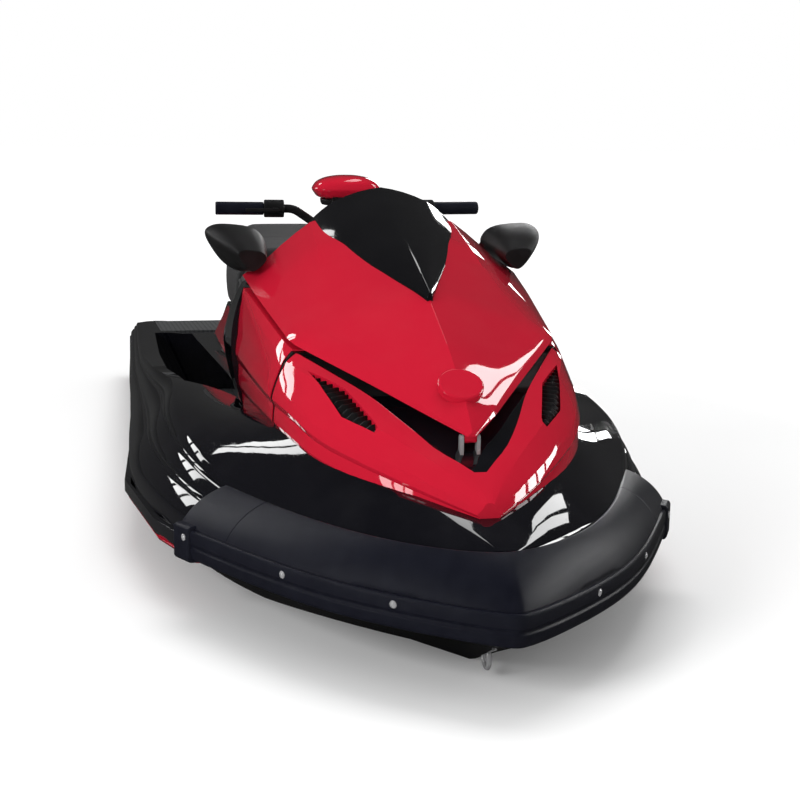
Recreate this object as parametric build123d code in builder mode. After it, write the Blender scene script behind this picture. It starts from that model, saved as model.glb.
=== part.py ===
"""Three-seat personal watercraft: hull, deck, red bodywork, seats, steering and water-jet drive.

Places are given the way a boat's lines plan gives them: a station from the transom, an offset to
port and a height above the keel line, in millimetres. at() turns them into the model's own frame:
+X to the bow, +Y to port, +Z up, origin on the waterline at the centreline.
"""
from build123d import *
from collections import namedtuple
from math import cos, radians, sin
import os

os.makedirs("parts", exist_ok=True)

# Frame of the lines plan in the model
ORIGIN_STATION = 1400
DRAFT = 282

# Heights that several pieces share
BOND_HEIGHT = 420
RAIL_TOP = 475
BUMPER_TOP = 556
FLOOR_HEIGHT = 300
KEEL_FLAT = 6
PEDESTAL_BASE = 470

# Walls and clearances
DECK_WALL = 12
HOOD_WALL = 14
BIN_WALL = 8
SEAT_FIT = 0.3
MOVING_GAP = 6
HOOD_GAP = 8


def at(station, offset, height):
    """Point of the model for a station, an offset to port and a height above the keel."""
    return Vector(station - ORIGIN_STATION, offset, height - DRAFT)


def section_plane(station):
    """Cross-section plane: local x is the offset to port, local y the height."""
    return Plane(origin=at(station, 0, 0), x_dir=(0, 1, 0), z_dir=(1, 0, 0))


def side_plane(offset=0):
    """Buttock plane: local x is the station, local y the height, and its normal is to starboard."""
    return Plane(origin=at(0, offset, 0), x_dir=(1, 0, 0), z_dir=(0, -1, 0))


def plan_plane(height):
    """Waterline plane: local x is the station, local y the offset to port."""
    return Plane(origin=at(0, 0, height))


def both_sides(half):
    """Closed outline from its port half, listed from the lowest point to the highest."""
    return half + [(-y, z) for y, z in reversed(half) if y > 0]


def lofted(rows, half_outline, ruled=True):
    """Solid through one section for each row of a table."""
    with BuildPart() as body:
        for row in rows:
            with BuildSketch(section_plane(row.station)):
                with BuildLine():
                    Polyline(*both_sides(half_outline(row)), close=True)
                make_face()
        loft(ruled=ruled)
    return body.part


def prism(points, low, high):
    """Upright prism over a plan outline of (station, offset) points."""
    with BuildPart() as body:
        with BuildSketch(plan_plane(low)):
            with BuildLine():
                Polyline(*points, close=True)
            make_face()
        extrude(amount=high - low)
    return body.part


def box_between(low, high):
    """Box between two (station, offset, height) corners."""
    centre = [(a + b) / 2 for a, b in zip(low, high)]
    size = [b - a for a, b in zip(low, high)]
    with BuildPart() as body:
        with Locations(at(*centre)):
            Box(*size)
    return body.part


def save(builder, label):
    """Labels a finished piece and writes it to the parts folder."""
    builder.part.label = label
    export_step(builder.part, f"parts/{label}.step")


# Hull bottom, bond flange and deck, one row for each station
Hull = namedtuple("Hull", "station keel quarter_half quarter chine_half chine bond_half")
HULL = [
    Hull(0, 6, 215, 98, 440, 190, 478),
    Hull(1000, 0, 225, 98, 468, 196, 536),
    Hull(1700, 0, 225, 104, 468, 206, 566),
    Hull(2150, 6, 215, 120, 455, 226, 604),
    Hull(2500, 58, 170, 165, 385, 262, 560),
    Hull(2800, 165, 120, 240, 285, 312, 458),
    Hull(3020, 268, 72, 316, 175, 354, 330),
    Hull(3180, 348, 40, 372, 92, 388, 195),
    Hull(3300, 398, 12, 404, 26, 410, 52),
]

Deck = namedtuple("Deck", "station bond_half side_half side ridge_half ridge inner_half inner")
DECK = [
    Deck(0, 478, 486, 450, 462, 486, 330, 488),
    Deck(500, 508, 516, 460, 486, 506, 330, 508),
    Deck(1000, 536, 545, 468, 505, 534, 330, 536),
    Deck(1500, 560, 566, 478, 500, 584, 330, 566),
    Deck(1900, 588, 594, 478, 480, 634, 310, 572),
    Deck(2200, 604, 606, 474, 508, 632, 338, 618),
    Deck(2500, 560, 560, 476, 494, 604, 330, 668),
    Deck(2740, 485, 478, 478, 412, 555, 296, 664),
    Deck(2980, 352, 345, 474, 298, 555, 178, 628),
    Deck(3120, 248, 238, 472, 196, 555, 56, 602),
    Deck(3235, 138, 120, 470, 30, 553, 8, 556),
]

# Bow bumper: plan of its rubber rail and of the upper band's inner edge
Bow = namedtuple("Bow", "station rail_half")
BOW_RAIL = [Bow(2690, 540), Bow(2820, 473), Bow(2950, 400), Bow(3060, 333), Bow(3160, 248),
            Bow(3240, 162), Bow(3300, 88), Bow(3340, 34)]
BOW_TIP = 3352
BAND_EDGE = [Bow(2690, 436), Bow(2820, 383), Bow(2950, 317), Bow(3060, 250), Bow(3140, 180),
             Bow(3200, 112), Bow(3232, 48), Bow(3238, 20)]
BAND_TIP = 3241
BAND_INSET = 9
CORNER_SPLIT = 2835
BUMPER_JOINT = 2
CAP_LENGTH = 62
CAP_PROUD = 5
BOW_CORE_HALF = 305

# Foot troughs
Trough = namedtuple("Trough", "station inner_half outer_half")
TROUGH = [Trough(385, 296, 424), Trough(1000, 296, 452), Trough(1500, 296, 466), Trough(1880, 300, 450)]
MAT = 5
TROUGH_TOP = 900

# Jet-drive bay, intake, engine space, engine and storage bin
PUMP_BAY_LENGTH, PUMP_BAY_HALF, PUMP_BAY_TOP = 560, 158, 262
PUMP_BAY_ROUND = 45
INTAKE_START, INTAKE_END, INTAKE_HALF = PUMP_BAY_LENGTH + 80, PUMP_BAY_LENGTH + 440, 84
BAY_START, BAY_END, BAY_HALF, BAY_FLOOR = INTAKE_END + 10, 1900, 222, 112
BAY_TOP = PEDESTAL_BASE + 80
ENGINE_START, ENGINE_LENGTH, ENGINE_WIDTH, ENGINE_HEIGHT = BAY_START + 70, 640, 400, 420
Bin = namedtuple("Bin", "station half bottom top")
BIN = [Bin(2215, 214, 392, 848), Bin(2755, 150, 438, 752)]

# Pedestal and seats
Pedestal = namedtuple("Pedestal", "station base_half top_half top")
PEDESTAL = [
    Pedestal(430, 205, 150, 590),
    Pedestal(560, 250, 190, 640),
    Pedestal(1000, 262, 205, 660),
    Pedestal(1300, 262, 205, 640),
    Pedestal(1640, 250, 170, 640),
]
Seat = namedtuple("Seat", "station base_half shoulder_half shoulder top_half top")
FRONT_SEAT = [
    Seat(1002, 203, 205, 775, 125, 846),
    Seat(1060, 203, 205, 760, 130, 812),
    Seat(1300, 203, 200, 740, 130, 788),
    Seat(1636, 168, 150, 730, 85, 776),
]
REAR_SEAT = [
    Seat(434, 148, 140, 790, 70, 872),
    Seat(560, 188, 185, 830, 120, 908),
    Seat(760, 196, 205, 815, 135, 872),
    Seat(998, 203, 205, 800, 125, 866),
]

# Console between seat and hood: gloss black flanks with the steering tower on top
Console = namedtuple("Console", "station base_half base bulge_half bulge upper_half upper top_half top")
CONSOLE = [
    Console(1640, 232, 540, 236, 650, 190, 770, 90, 830),
    Console(1760, 292, 540, 330, 735, 262, 865, 100, 940),
    Console(1980, 300, 540, 364, 745, 318, 885, 120, 975),
    Console(2198, 318, 560, 368, 765, 338, 900, 150, 985),
]

# Red bodywork: hood above its seam, cowl and flanks below it
Hood = namedtuple("Hood", "station seam_half seam crest_half crest crease_half crease ridge")
HOOD = [
    Hood(2146, 334, 922, 276, 962, 173, 1047, 1086),
    Hood(2300, 322, 893, 278, 928, 180, 1000, 1044),
    Hood(2606, 290, 834, 272, 846, 206, 868, 944),
    Hood(2804, 160, 779, 140, 792, 90, 816, 855),
    Hood(2950, 60, 734, 52, 742, 34, 754, 772),
    Hood(3003, 8, 712, 7, 715, 5, 718, 722),
]
# The cowl's lip runs HOOD_GAP under the hood's seam, and fall is how far it drops below that line
Cowl = namedtuple("Cowl", "station lip_half fall grille_half grille bulge_half bulge edge_half edge")
FLANK = [
    Cowl(2202, 338, 0, 343, 868, 352, 790, 336, 590),
    Cowl(2400, 316, 0, 330, 838, 342, 770, 334, 610),
    Cowl(2600, 292, 0, 308, 800, 328, 750, 322, 620),
]
COWL = [
    Cowl(2606, 292, 0, 308, 800, 328, 750, 322, 620),
    Cowl(2731, 218, 0, 264, 784, 300, 738, 300, 610),
    Cowl(2831, 158, 0, 222, 750, 268, 704, 273, 600),
    Cowl(2923, 118, 4, 170, 717, 212, 682, 217, 590),
    Cowl(2990, 82, 3, 118, 694, 160, 664, 172, 580),
    Cowl(3072, 12, 40, 50, 655, 92, 638, 102, 570),
    Cowl(3138, 3, 82, 8, 616, 14, 606, 20, 560),
]
FLANK_INNER = 262

# Grilles: plan outline of the openings in the cowl's cheeks, filled with slats on a back plate
Corner = namedtuple("Corner", "station offset")
GRILLE = [Corner(2694, 268), Corner(2784, 208), Corner(2906, 169), Corner(2920, 167), Corner(2925, 175),
          Corner(2880, 208), Corner(2853, 226), Corner(2774, 249)]
GRILLE_DEPTH, GRILLE_SET_BACK, GRILLE_PLATE = 16, 4, 3
SLAT_PITCH, SLAT_THICK = 15, 3

# Black panel in the notch between hood tip and cowl, set down below the cowl's lip
Chin = namedtuple("Chin", "station half fall")
CHIN = [Chin(2775, 190, 16), Chin(2831, 157, 16), Chin(2923, 117, 22), Chin(2990, 81, 24), Chin(3068, 12, 54)]
CHIN_BOTTOM = 640

# Hood hinge, and the black windscreen on the hood
HINGE_STATION, HINGE_HEIGHT, HINGE_PIN = 2985, 706, 4
HINGE_LUG, HINGE_EAR, HINGE_EAR_THICK = 9, 8, 7
LUG_HALF = 12
HINGE_FOOT = CHIN_BOTTOM + 15
Screen = namedtuple("Screen", "station edge_half edge brow_half brow top")
SCREEN = [
    Screen(2126, 172, 1046, 110, 1096, 1128),
    Screen(2242, 163, 1016, 102, 1058, 1088),
    Screen(2450, 80, 974, 44, 1004, 1016),
    Screen(2646, 5, 936, 3, 941, 943),
]
BOSS_STATION, BOSS_RADIUS, BOSS_DEPTH, BOSS_TILT = 2909, 46, 21, 29

# Mirrors: outline seen from ahead, offset outboard and height
MIRROR_AFT, MIRROR_FORE, MIRROR_ROOT = 2050, 2150, 2226
MIRROR_STEM, MIRROR_RIM = (300, 950), 0.85
MIRROR_OUTLINE = [(336, 920), (376, 944), (414, 1002), (416, 1026), (384, 1040), (290, 1030), (262, 985)]
MIRROR_GLASS = 4

# Rub rails and stripes along the bond line
RAIL_LOW, RAIL_HIGH, RAIL_PROUD = 404, 446, 13
RAIL_START, RAIL_END = 6, 2682
STRIPE_HEIGHT, STRIPE_PROUD, STRIP_ROOT = 16, 4, 20
STRIP_LOW_BEVEL, STRIP_HIGH_BEVEL = 6, 8

# Red side panels, mats, sponsons, lifting strakes and eyes
PANEL_THICK, PANEL_FOOT, PANEL_EDGE = 8, 75, 8
PANEL_STATIONS = (640, 1000, 1300, 1600)
HANDLE_STATION, HANDLE_HALF, HANDLE_RADIUS, HANDLE_FOOT, HANDLE_TOP = 404, 120, 13, 484, 650
HANDLE_LEAN, HANDLE_BEND = 46, 45
PLATFORM_MAT_START, PLATFORM_MAT_END, PLATFORM_MAT_HALF = 22, 330, 400
Sponson = namedtuple("Sponson", "station low high out")
SPONSON = [Sponson(260, 250, 300, 496), Sponson(560, 244, 304, 520), Sponson(900, 262, 296, 512)]
SPONSON_ROOT = 420
STRAKE_WIDTH, STRAKE_ROOT, STRAKE_STATIONS = 30, 10, (40, 1000, 1700, 2150)
EYE_RING, EYE_ROD = 20, 5
BOW_EYE, STERN_EYE = (3142, 0, 322), (-2, 330, 250)

# Steering
COLUMN_STATION, COLUMN_HEIGHT, COLUMN_TILT = CONSOLE[1].station, CONSOLE[1].top + 38, 28
BAR_REACH, BAR_HEIGHT, BAR_SWEEP, BAR_RADIUS = 352, COLUMN_HEIGHT + 68, 37, 11
BAR_RISE_HALF, BAR_ROOT_HALF, BAR_BEND = 150, 70, 50
GRIP_RADIUS, GRIP_LENGTH = 17, 125

COLUMN_RADIUS, COLUMN_FIT, COLUMN_DEPTH = 19, 3, 150
POD_HALF = 105
CLAMP_LENGTH, CLAMP_WIDTH, CLAMP_HEIGHT = 74, 96, 92
SWITCH_LENGTH, SWITCH_PROUD = 52, 6
LEVER_REACH, LEVER_LENGTH, LEVER_WIDTH, LEVER_THICK = 32, 86, 14, 8
# Side outline of the bar's padded cap, measured from the column's top
PAD_HALF, PAD_CHAMFER = 94, 18
PAD_OUTLINE = [(-148, 94), (-120, 140), (-70, 153), (-18, 126), (4, 88), (-25, 80), (-120, 74)]

# Water-jet drive
SHAFT_HEIGHT = 128
PUMP_END, PUMP_START = PUMP_BAY_LENGTH, PUMP_BAY_LENGTH - 205
PUMP_RADIUS, PUMP_BORE = 96, 80
BUCKET_WELL_TOP, BUCKET_WELL_END = 326, PUMP_START - 3
FLANGE_RADIUS, FLANGE_THICK = 100, 14
OUTLET_RADIUS, OUTLET_BORE, OUTLET_END = 60, 50, PUMP_START - 50
OUTLET_FLANGE_THICK = 12
VANES, VANE_THICK = 5, 5
IMPELLER_START, IMPELLER_LENGTH, BLADES, BLADE_THICK = PUMP_START + 95, 76, 4, 6
HUB_RADIUS, SHAFT_RADIUS, SHAFT_FIT = 32, 12, 0.05
NOZZLE_PIVOT = OUTLET_END - 9
NOZZLE_FRONT, NOZZLE_END = NOZZLE_PIVOT + 20, NOZZLE_PIVOT - 146
NOZZLE_INLET, NOZZLE_OUTLET, NOZZLE_WALL = 82, 62, 8
PIVOT_PIN, LUG_THICK, LUG_WIDTH, LUG_ROUND = 6, 10, 36, 12
ARM_THICK, ARM_HEIGHT, ARM_INSET = 12, 30, 20
IMPELLER_TIP, BLADE_PITCH = 74, 35
RIDE_START, RIDE_THICK = NOZZLE_PIVOT - 106, 10
GRATE_START, GRATE_BARS, GRATE_BAR_THICK = PUMP_BAY_LENGTH + 40, (-56, -28, 0, 28, 56), 7
GRATE_LOW, GRATE_DEPTH = 6, 14
BOTTOM_SLOPE = (HULL[0].quarter - HULL[0].keel) / (HULL[0].quarter_half - KEEL_FLAT)
BUCKET_RADIUS, BUCKET_WALL, BUCKET_HALF = 175, 8, 136
BUCKET_LOW, BUCKET_HIGH = 55, 105

# Boarding step
STEP_HEIGHT, STEP_HALF, STEP_REACH, STEP_ROD, STEP_OUT = 300, 190, 150, 8, 22
STEP_PIN, STEP_HUB, STEP_BEND, STEP_BRACKET_OUT = 6, 12, 40, 17


def hull_half(row):
    return [(KEEL_FLAT, row.keel), (row.quarter_half, row.quarter), (row.chine_half, row.chine),
            (row.bond_half, BOND_HEIGHT)]


def deck_half(row):
    return [(row.bond_half, BOND_HEIGHT), (row.side_half, row.side), (row.ridge_half, row.ridge),
            (row.inner_half, row.inner)]


def trough_plan(wall):
    """Plan outline of the port trough, wall larger than the open space."""
    inner = [(row.station, row.inner_half - wall) for row in TROUGH]
    outer = [(row.station, row.outer_half + wall) for row in TROUGH]
    inner[0], outer[0] = (inner[0][0] - wall, inner[0][1]), (outer[0][0] - wall, outer[0][1])
    inner[-1], outer[-1] = (inner[-1][0] + wall, inner[-1][1]), (outer[-1][0] + wall, outer[-1][1])
    return inner + outer[::-1]


def bow_plan(rows, tip, inset=0):
    """Plan outline of the whole bow from its port rows, ending aft on a straight line."""
    port = [(row.station, row.rail_half - inset) for row in rows]
    return port + [(tip - inset, 0)] + [(x, -y) for x, y in reversed(port)]


def mirrored_pair(solid):
    """The port solid and its twin to starboard."""
    with BuildPart() as pair:
        add(solid)
        mirror(about=Plane.XZ)
    return pair.part


deck_form = lofted(DECK, deck_half)
hull_form = lofted(HULL, hull_half)
trough_outside = mirrored_pair(prism(trough_plan(DECK_WALL), FLOOR_HEIGHT - DECK_WALL, BOND_HEIGHT + 1))
trough_inside = mirrored_pair(prism(trough_plan(0), FLOOR_HEIGHT, TROUGH_TOP))


def row_value(rows, station, name):
    """Value of a column between two rows of a table."""
    for aft, fore in zip(rows, rows[1:]):
        if station <= fore.station:
            share = (station - aft.station) / (fore.station - aft.station)
            return getattr(aft, name) + share * (getattr(fore, name) - getattr(aft, name))
    return getattr(rows[-1], name)


def pump_bay():
    """Space under the stern that the jet drive sits in, open aft and below."""
    with BuildPart() as bay:
        add(box_between((-20, -PUMP_BAY_HALF, -60), (PUMP_BAY_LENGTH, PUMP_BAY_HALF, PUMP_BAY_TOP)))
        fillet(bay.edges().filter_by(Axis.X).group_by(Axis.Z)[-1], PUMP_BAY_ROUND)
        add(box_between((-20, -PUMP_BAY_HALF, PUMP_BAY_TOP - 60),
                        (BUCKET_WELL_END, PUMP_BAY_HALF, BUCKET_WELL_TOP)))
    return bay.part


def intake_duct():
    """Water way from the opening in the hull bottom back to the pump."""
    reach = PUMP_BAY_LENGTH - 5
    with BuildPart() as duct:
        with BuildSketch(side_plane()):
            with BuildLine():
                Polyline((reach, SHAFT_HEIGHT + 74), (reach, SHAFT_HEIGHT - 74), (INTAKE_START, -30),
                         (INTAKE_END, -30), (INTAKE_START + 60, SHAFT_HEIGHT + 60), close=True)
            make_face()
        extrude(amount=INTAKE_HALF, both=True)
    return duct.part


def seam_height(station):
    """Height of the seam between hood and cowl."""
    return row_value(HOOD, station, "seam")


def bin_half(row):
    return [(row.half, row.bottom), (row.half, row.top)]


def bin_outside(wall=0):
    """Outer form of the storage bin, wall larger on every side but the top."""
    rows = [Bin(row.station + side * wall, row.half + wall, row.bottom - wall, row.top)
            for row, side in zip(BIN, (-1, 1))]
    return lofted(rows, bin_half)


engine_bay = box_between((BAY_START, -BAY_HALF, BAY_FLOOR), (BAY_END, BAY_HALF, BAY_TOP))
below_topsides = box_between((-100, -900, -100), (4000, 900, FLOOR_HEIGHT - DECK_WALL))

def strake():
    """Port lifting strake: a wedge along the middle of the hull's outer bottom panel."""
    with BuildPart() as body:
        for station in STRAKE_STATIONS:
            inner, low, outer, high = (row_value(HULL, station, name)
                                       for name in ("quarter_half", "quarter", "chine_half", "chine"))
            slope = (high - low) / (outer - inner)
            start = (inner + outer) / 2
            level = low + slope * (start - inner)
            end_level = level + slope * STRAKE_WIDTH
            with BuildSketch(section_plane(station)):
                with BuildLine():
                    Polyline((start, level), (start + STRAKE_WIDTH, level), (start + STRAKE_WIDTH, end_level),
                             (start + STRAKE_WIDTH - 2, end_level + STRAKE_ROOT), (start, level + STRAKE_ROOT),
                             close=True)
                make_face()
        loft(ruled=True)
    return body.part


# Hull with its jet-drive bay, intake and engine space, in two mouldings: bottom with its lifting
# strakes, and topsides
with BuildPart() as hull_moulding:
    add(hull_form)
    add(trough_outside, mode=Mode.SUBTRACT)
    add(pump_bay(), mode=Mode.SUBTRACT)
    add(intake_duct(), mode=Mode.SUBTRACT)
    with Locations(at((PUMP_BAY_LENGTH + BAY_START) / 2, 0, SHAFT_HEIGHT)):
        Cylinder(SHAFT_RADIUS + MOVING_GAP, BAY_START - PUMP_BAY_LENGTH + 2, rotation=(0, 90, 0),
                 mode=Mode.SUBTRACT)
    add(engine_bay, mode=Mode.SUBTRACT)
    add(bin_outside(SEAT_FIT), mode=Mode.SUBTRACT)

with BuildPart() as hull_shell:
    add(hull_moulding.part)
    add(mirrored_pair(strake()))
    add(below_topsides, mode=Mode.INTERSECT)
save(hull_shell, "hull_shell")

with BuildPart() as hull_topsides:
    add(hull_moulding.part)
    add(below_topsides, mode=Mode.SUBTRACT)
save(hull_topsides, "hull_topsides")

# Deck moulding: gunwales, foot troughs, stern platform and foredeck in one piece
with BuildPart() as deck:
    add(deck_form)
    add(trough_outside)
    add(trough_inside, mode=Mode.SUBTRACT)
    add(engine_bay, mode=Mode.SUBTRACT)
    add(bin_outside(SEAT_FIT), mode=Mode.SUBTRACT)
    add(box_between((PEDESTAL[0].station - 1, -PEDESTAL[2].base_half - 1, PEDESTAL_BASE),
                    (CONSOLE[0].station, PEDESTAL[2].base_half + 1, 900)), mode=Mode.SUBTRACT)
save(deck, "deck")

# Engine: one plain block in the space under the seat
with BuildPart() as engine_block:
    add(box_between((ENGINE_START, -ENGINE_WIDTH / 2, BAY_FLOOR),
                    (ENGINE_START + ENGINE_LENGTH, ENGINE_WIDTH / 2, BAY_FLOOR + ENGINE_HEIGHT)))
save(engine_block, "engine_block")


def pedestal_half(row):
    return [(row.base_half, PEDESTAL_BASE), (row.top_half, row.top)]


# Pedestal that carries the seats, open below over the engine
with BuildPart() as pedestal:
    add(lofted(PEDESTAL, pedestal_half))
    add(box_between((BAY_START, -ENGINE_WIDTH / 2 - MOVING_GAP, PEDESTAL_BASE - 1),
                    (PEDESTAL[-1].station + 1, ENGINE_WIDTH / 2 + MOVING_GAP,
                     BAY_FLOOR + ENGINE_HEIGHT + MOVING_GAP)), mode=Mode.SUBTRACT)
save(pedestal, "pedestal")


def seat_half(row):
    return [(row.base_half, row_value(PEDESTAL, row.station, "top") + SEAT_FIT),
            (row.shoulder_half, row.shoulder), (row.top_half, row.top)]


# Rider's seat and passenger seat, two cushions that meet at the rider's back rest
with BuildPart() as seat_front:
    add(lofted(FRONT_SEAT, seat_half))
save(seat_front, "seat_front")

with BuildPart() as seat_rear:
    add(lofted(REAR_SEAT, seat_half))
save(seat_rear, "seat_rear")


def console_half(row):
    return [(row.base_half, row.base), (row.bulge_half, row.bulge), (row.upper_half, row.upper),
            (row.top_half, row.top)]


def tilted(station, height, tilt):
    """Plane on the centreline with its normal leaned aft of upright by tilt degrees."""
    lean = radians(tilt)
    return Plane(origin=at(station, 0, height), x_dir=(cos(lean), 0, sin(lean)),
                 z_dir=(-sin(lean), 0, cos(lean)))


steering_plane = tilted(COLUMN_STATION, COLUMN_HEIGHT, COLUMN_TILT)

# Console with the steering column's bore
with BuildPart() as console:
    add(lofted(CONSOLE, console_half))
    add(deck.part, mode=Mode.SUBTRACT)
    add(engine_bay, mode=Mode.SUBTRACT)
    add(box_between((HOOD[0].station - HOOD_GAP, -500, seam_height(CONSOLE[-1].station) - HOOD_GAP),
                    (CONSOLE[-1].station + 1, 500, 1200)), mode=Mode.SUBTRACT)
    with Locations(steering_plane):
        Cylinder(COLUMN_RADIUS + COLUMN_FIT, COLUMN_DEPTH + SEAT_FIT,
                 align=(Align.CENTER, Align.CENTER, Align.MAX), mode=Mode.SUBTRACT)
save(console, "console")

# Instrument pod under the windscreen's brow
POD_OUTLINE = [(1992, 960), (2112, 960), (2112, 1030), (2070, 1034), (1992, 992)]
with BuildPart() as instrument_pod:
    with BuildSketch(side_plane()):
        with BuildLine():
            Polyline(*POD_OUTLINE, close=True)
        make_face()
    extrude(amount=POD_HALF, both=True)
    fillet(instrument_pod.edges().filter_by(Axis.X), 3)
    add(console.part, mode=Mode.SUBTRACT)
save(instrument_pod, "instrument_pod")


def cowl_half(row):
    lip = seam_height(row.station) - HOOD_GAP - row.fall
    return [(row.edge_half, row.edge), (row.bulge_half, row.bulge), (row.grille_half, row.grille),
            (row.lip_half, lip)]


def chin_half(row):
    top = seam_height(row.station) - HOOD_GAP - row.fall
    return [(row.half, CHIN_BOTTOM), (row.half, top)]


def hinge_cylinder(radius, length):
    """Solid about the hood hinge's axis."""
    with BuildPart() as body:
        with Locations(at(HINGE_STATION, 0, HINGE_HEIGHT)):
            Cylinder(radius, length, rotation=(90, 0, 0))
    return body.part


# Hood hinge: two ears and their pin, let into the black panel
with BuildPart() as hood_hinge:
    ear_centre = LUG_HALF + 1 + HINGE_EAR_THICK / 2
    with BuildSketch(side_plane(ear_centre + HINGE_EAR_THICK / 2)):
        with BuildLine():
            Polyline((HINGE_STATION - HINGE_EAR, HINGE_FOOT), (HINGE_STATION + HINGE_EAR, HINGE_FOOT),
                     (HINGE_STATION + HINGE_EAR, HINGE_HEIGHT), (HINGE_STATION - HINGE_EAR, HINGE_HEIGHT),
                     close=True)
        make_face()
    extrude(amount=HINGE_EAR_THICK)
    mirror(about=Plane.XZ)
    for side in (-1, 1):
        with Locations(at(HINGE_STATION, side * ear_centre, HINGE_HEIGHT)):
            Cylinder(HINGE_EAR, HINGE_EAR_THICK, rotation=(90, 0, 0))
    add(hinge_cylinder(HINGE_PIN, 2 * ear_centre + HINGE_EAR_THICK))
save(hood_hinge, "hood_hinge")

cowl_form = lofted(COWL, cowl_half)
chin_form = lofted(CHIN, chin_half)



def lowered_cowl(depth):
    """The cowl's own form, depth millimetres down."""
    return Pos(0, 0, -depth) * cowl_form


# Room of the port grille: its plan outline down to a floor that follows the cowl
with BuildPart() as grille_room:
    add(prism(GRILLE, CHIN_BOTTOM, BIN[0].top))
    add(lowered_cowl(GRILLE_DEPTH), mode=Mode.SUBTRACT)

# Grilles in the cowl's cheeks, slats across the stream of air on a plate that follows the cowl
with BuildPart() as port_grille:
    slat_count = int((GRILLE[4].station - GRILLE[0].station) / SLAT_PITCH)
    for index in range(1, slat_count + 1):
        station = GRILLE[0].station + index * SLAT_PITCH
        add(box_between((station, 0, CHIN_BOTTOM), (station + SLAT_THICK, BOW_CORE_HALF, BIN[0].top)))
    add(lowered_cowl(GRILLE_DEPTH - GRILLE_PLATE))
    add(lowered_cowl(GRILLE_SET_BACK), mode=Mode.INTERSECT)
    add(grille_room.part, mode=Mode.INTERSECT)

with BuildPart() as grilles:
    add(mirrored_pair(port_grille.part))
save(grilles, "grilles")

# Red front cowl with its grille openings and the pocket for the black panel
with BuildPart() as front_cowl:
    add(cowl_form)
    add(mirrored_pair(grille_room.part), mode=Mode.SUBTRACT)
    add(deck.part, mode=Mode.SUBTRACT)
    add(bin_outside(SEAT_FIT), mode=Mode.SUBTRACT)
    add(lofted(CHIN, lambda row: [(row.half, CHIN_BOTTOM), (row.half, 1000)]), mode=Mode.SUBTRACT)
save(front_cowl, "front_cowl")

with BuildPart() as chin_panel:
    add(chin_form)
    add(deck.part, mode=Mode.SUBTRACT)
    add(hood_hinge.part, mode=Mode.SUBTRACT)
save(chin_panel, "chin_panel")

# Red flanks between cowl and console
with BuildPart() as flank_panels:
    add(lofted(FLANK, cowl_half))
    add(box_between((FLANK[0].station - 1, -FLANK_INNER, 500), (FLANK[-1].station + 1, FLANK_INNER, 1000)),
        mode=Mode.SUBTRACT)
    add(deck.part, mode=Mode.SUBTRACT)
save(flank_panels, "flank_panels")

# Storage bin under the hood, open at the top
with BuildPart() as storage_bin:
    add(bin_outside())
    inner = [Bin(row.station + side * BIN_WALL, row.half - BIN_WALL, row.bottom + BIN_WALL, row.top + 1)
             for row, side in zip(BIN, (1, -1))]
    add(lofted(inner, bin_half), mode=Mode.SUBTRACT)
save(storage_bin, "storage_bin")


def hood_half(row, wall=0):
    return [(row.seam_half - 1.5 * wall, row.seam - wall / 2), (row.crest_half - 1.2 * wall, row.crest - wall),
            (row.crease_half - wall / 2, row.crease - wall), (0, row.ridge - wall)]


hood_form = lofted(HOOD, hood_half)

# Hood: a shell with a faceted top, the round boss near its tip and the hinge lug below it
with BuildPart() as hood:
    add(hood_form)
    hollow = [HOOD[0]._replace(station=HOOD[0].station + HOOD_WALL)] + HOOD[1:4]
    add(lofted(hollow, lambda row: hood_half(row, HOOD_WALL)), mode=Mode.SUBTRACT)
    with Locations(tilted(BOSS_STATION, row_value(HOOD, BOSS_STATION, "ridge"), -BOSS_TILT)):
        Cylinder(BOSS_RADIUS, BOSS_DEPTH, align=(Align.CENTER, Align.CENTER, Align.MAX))
    with Locations(at(HINGE_STATION, 0, HINGE_HEIGHT)):
        Cylinder(HINGE_LUG, 2 * LUG_HALF, rotation=(90, 0, 0))
    add(box_between((HINGE_STATION - HINGE_LUG, -LUG_HALF, HINGE_HEIGHT),
                    (HINGE_STATION + HINGE_LUG, LUG_HALF, HINGE_HEIGHT + 16)))
    add(hinge_cylinder(HINGE_PIN + SHAFT_FIT, 2 * LUG_HALF + 1), mode=Mode.SUBTRACT)
save(hood, "hood")


def screen_half(row):
    return [(row.edge_half, row.edge - 25), (row.edge_half, row.edge), (row.brow_half, row.brow), (0, row.top)]


# Black windscreen, a wedge that lies on the hood and ends in a brow over the instruments
with BuildPart() as windscreen:
    add(lofted(SCREEN, screen_half))
    add(hood_form, mode=Mode.SUBTRACT)
save(windscreen, "windscreen")


def mirror_outline(share):
    """Mirror outline drawn in towards its root by share."""
    root_y, root_z = MIRROR_STEM
    return [(root_y + (y - root_y) * share, root_z + (z - root_z) * share) for y, z in MIRROR_OUTLINE]


# Mirrors: tapered pods that grow out of the hood's crest, glass on their aft faces
with BuildPart() as port_mirror:
    for station, share in ((MIRROR_AFT, 1), (MIRROR_FORE, 0.86), (MIRROR_ROOT, 0.45)):
        with BuildSketch(section_plane(station)):
            with BuildLine():
                Polyline(*mirror_outline(share), close=True)
            make_face()
    loft(ruled=True)
    with BuildSketch(section_plane(MIRROR_AFT)):
        with BuildLine():
            Polyline(*mirror_outline(MIRROR_RIM + 0.01), close=True)
        make_face()
    extrude(amount=MIRROR_GLASS, mode=Mode.SUBTRACT)
    add(hood_form, mode=Mode.SUBTRACT)

with BuildPart() as mirrors:
    add(mirrored_pair(port_mirror.part))
save(mirrors, "mirrors")

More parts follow.
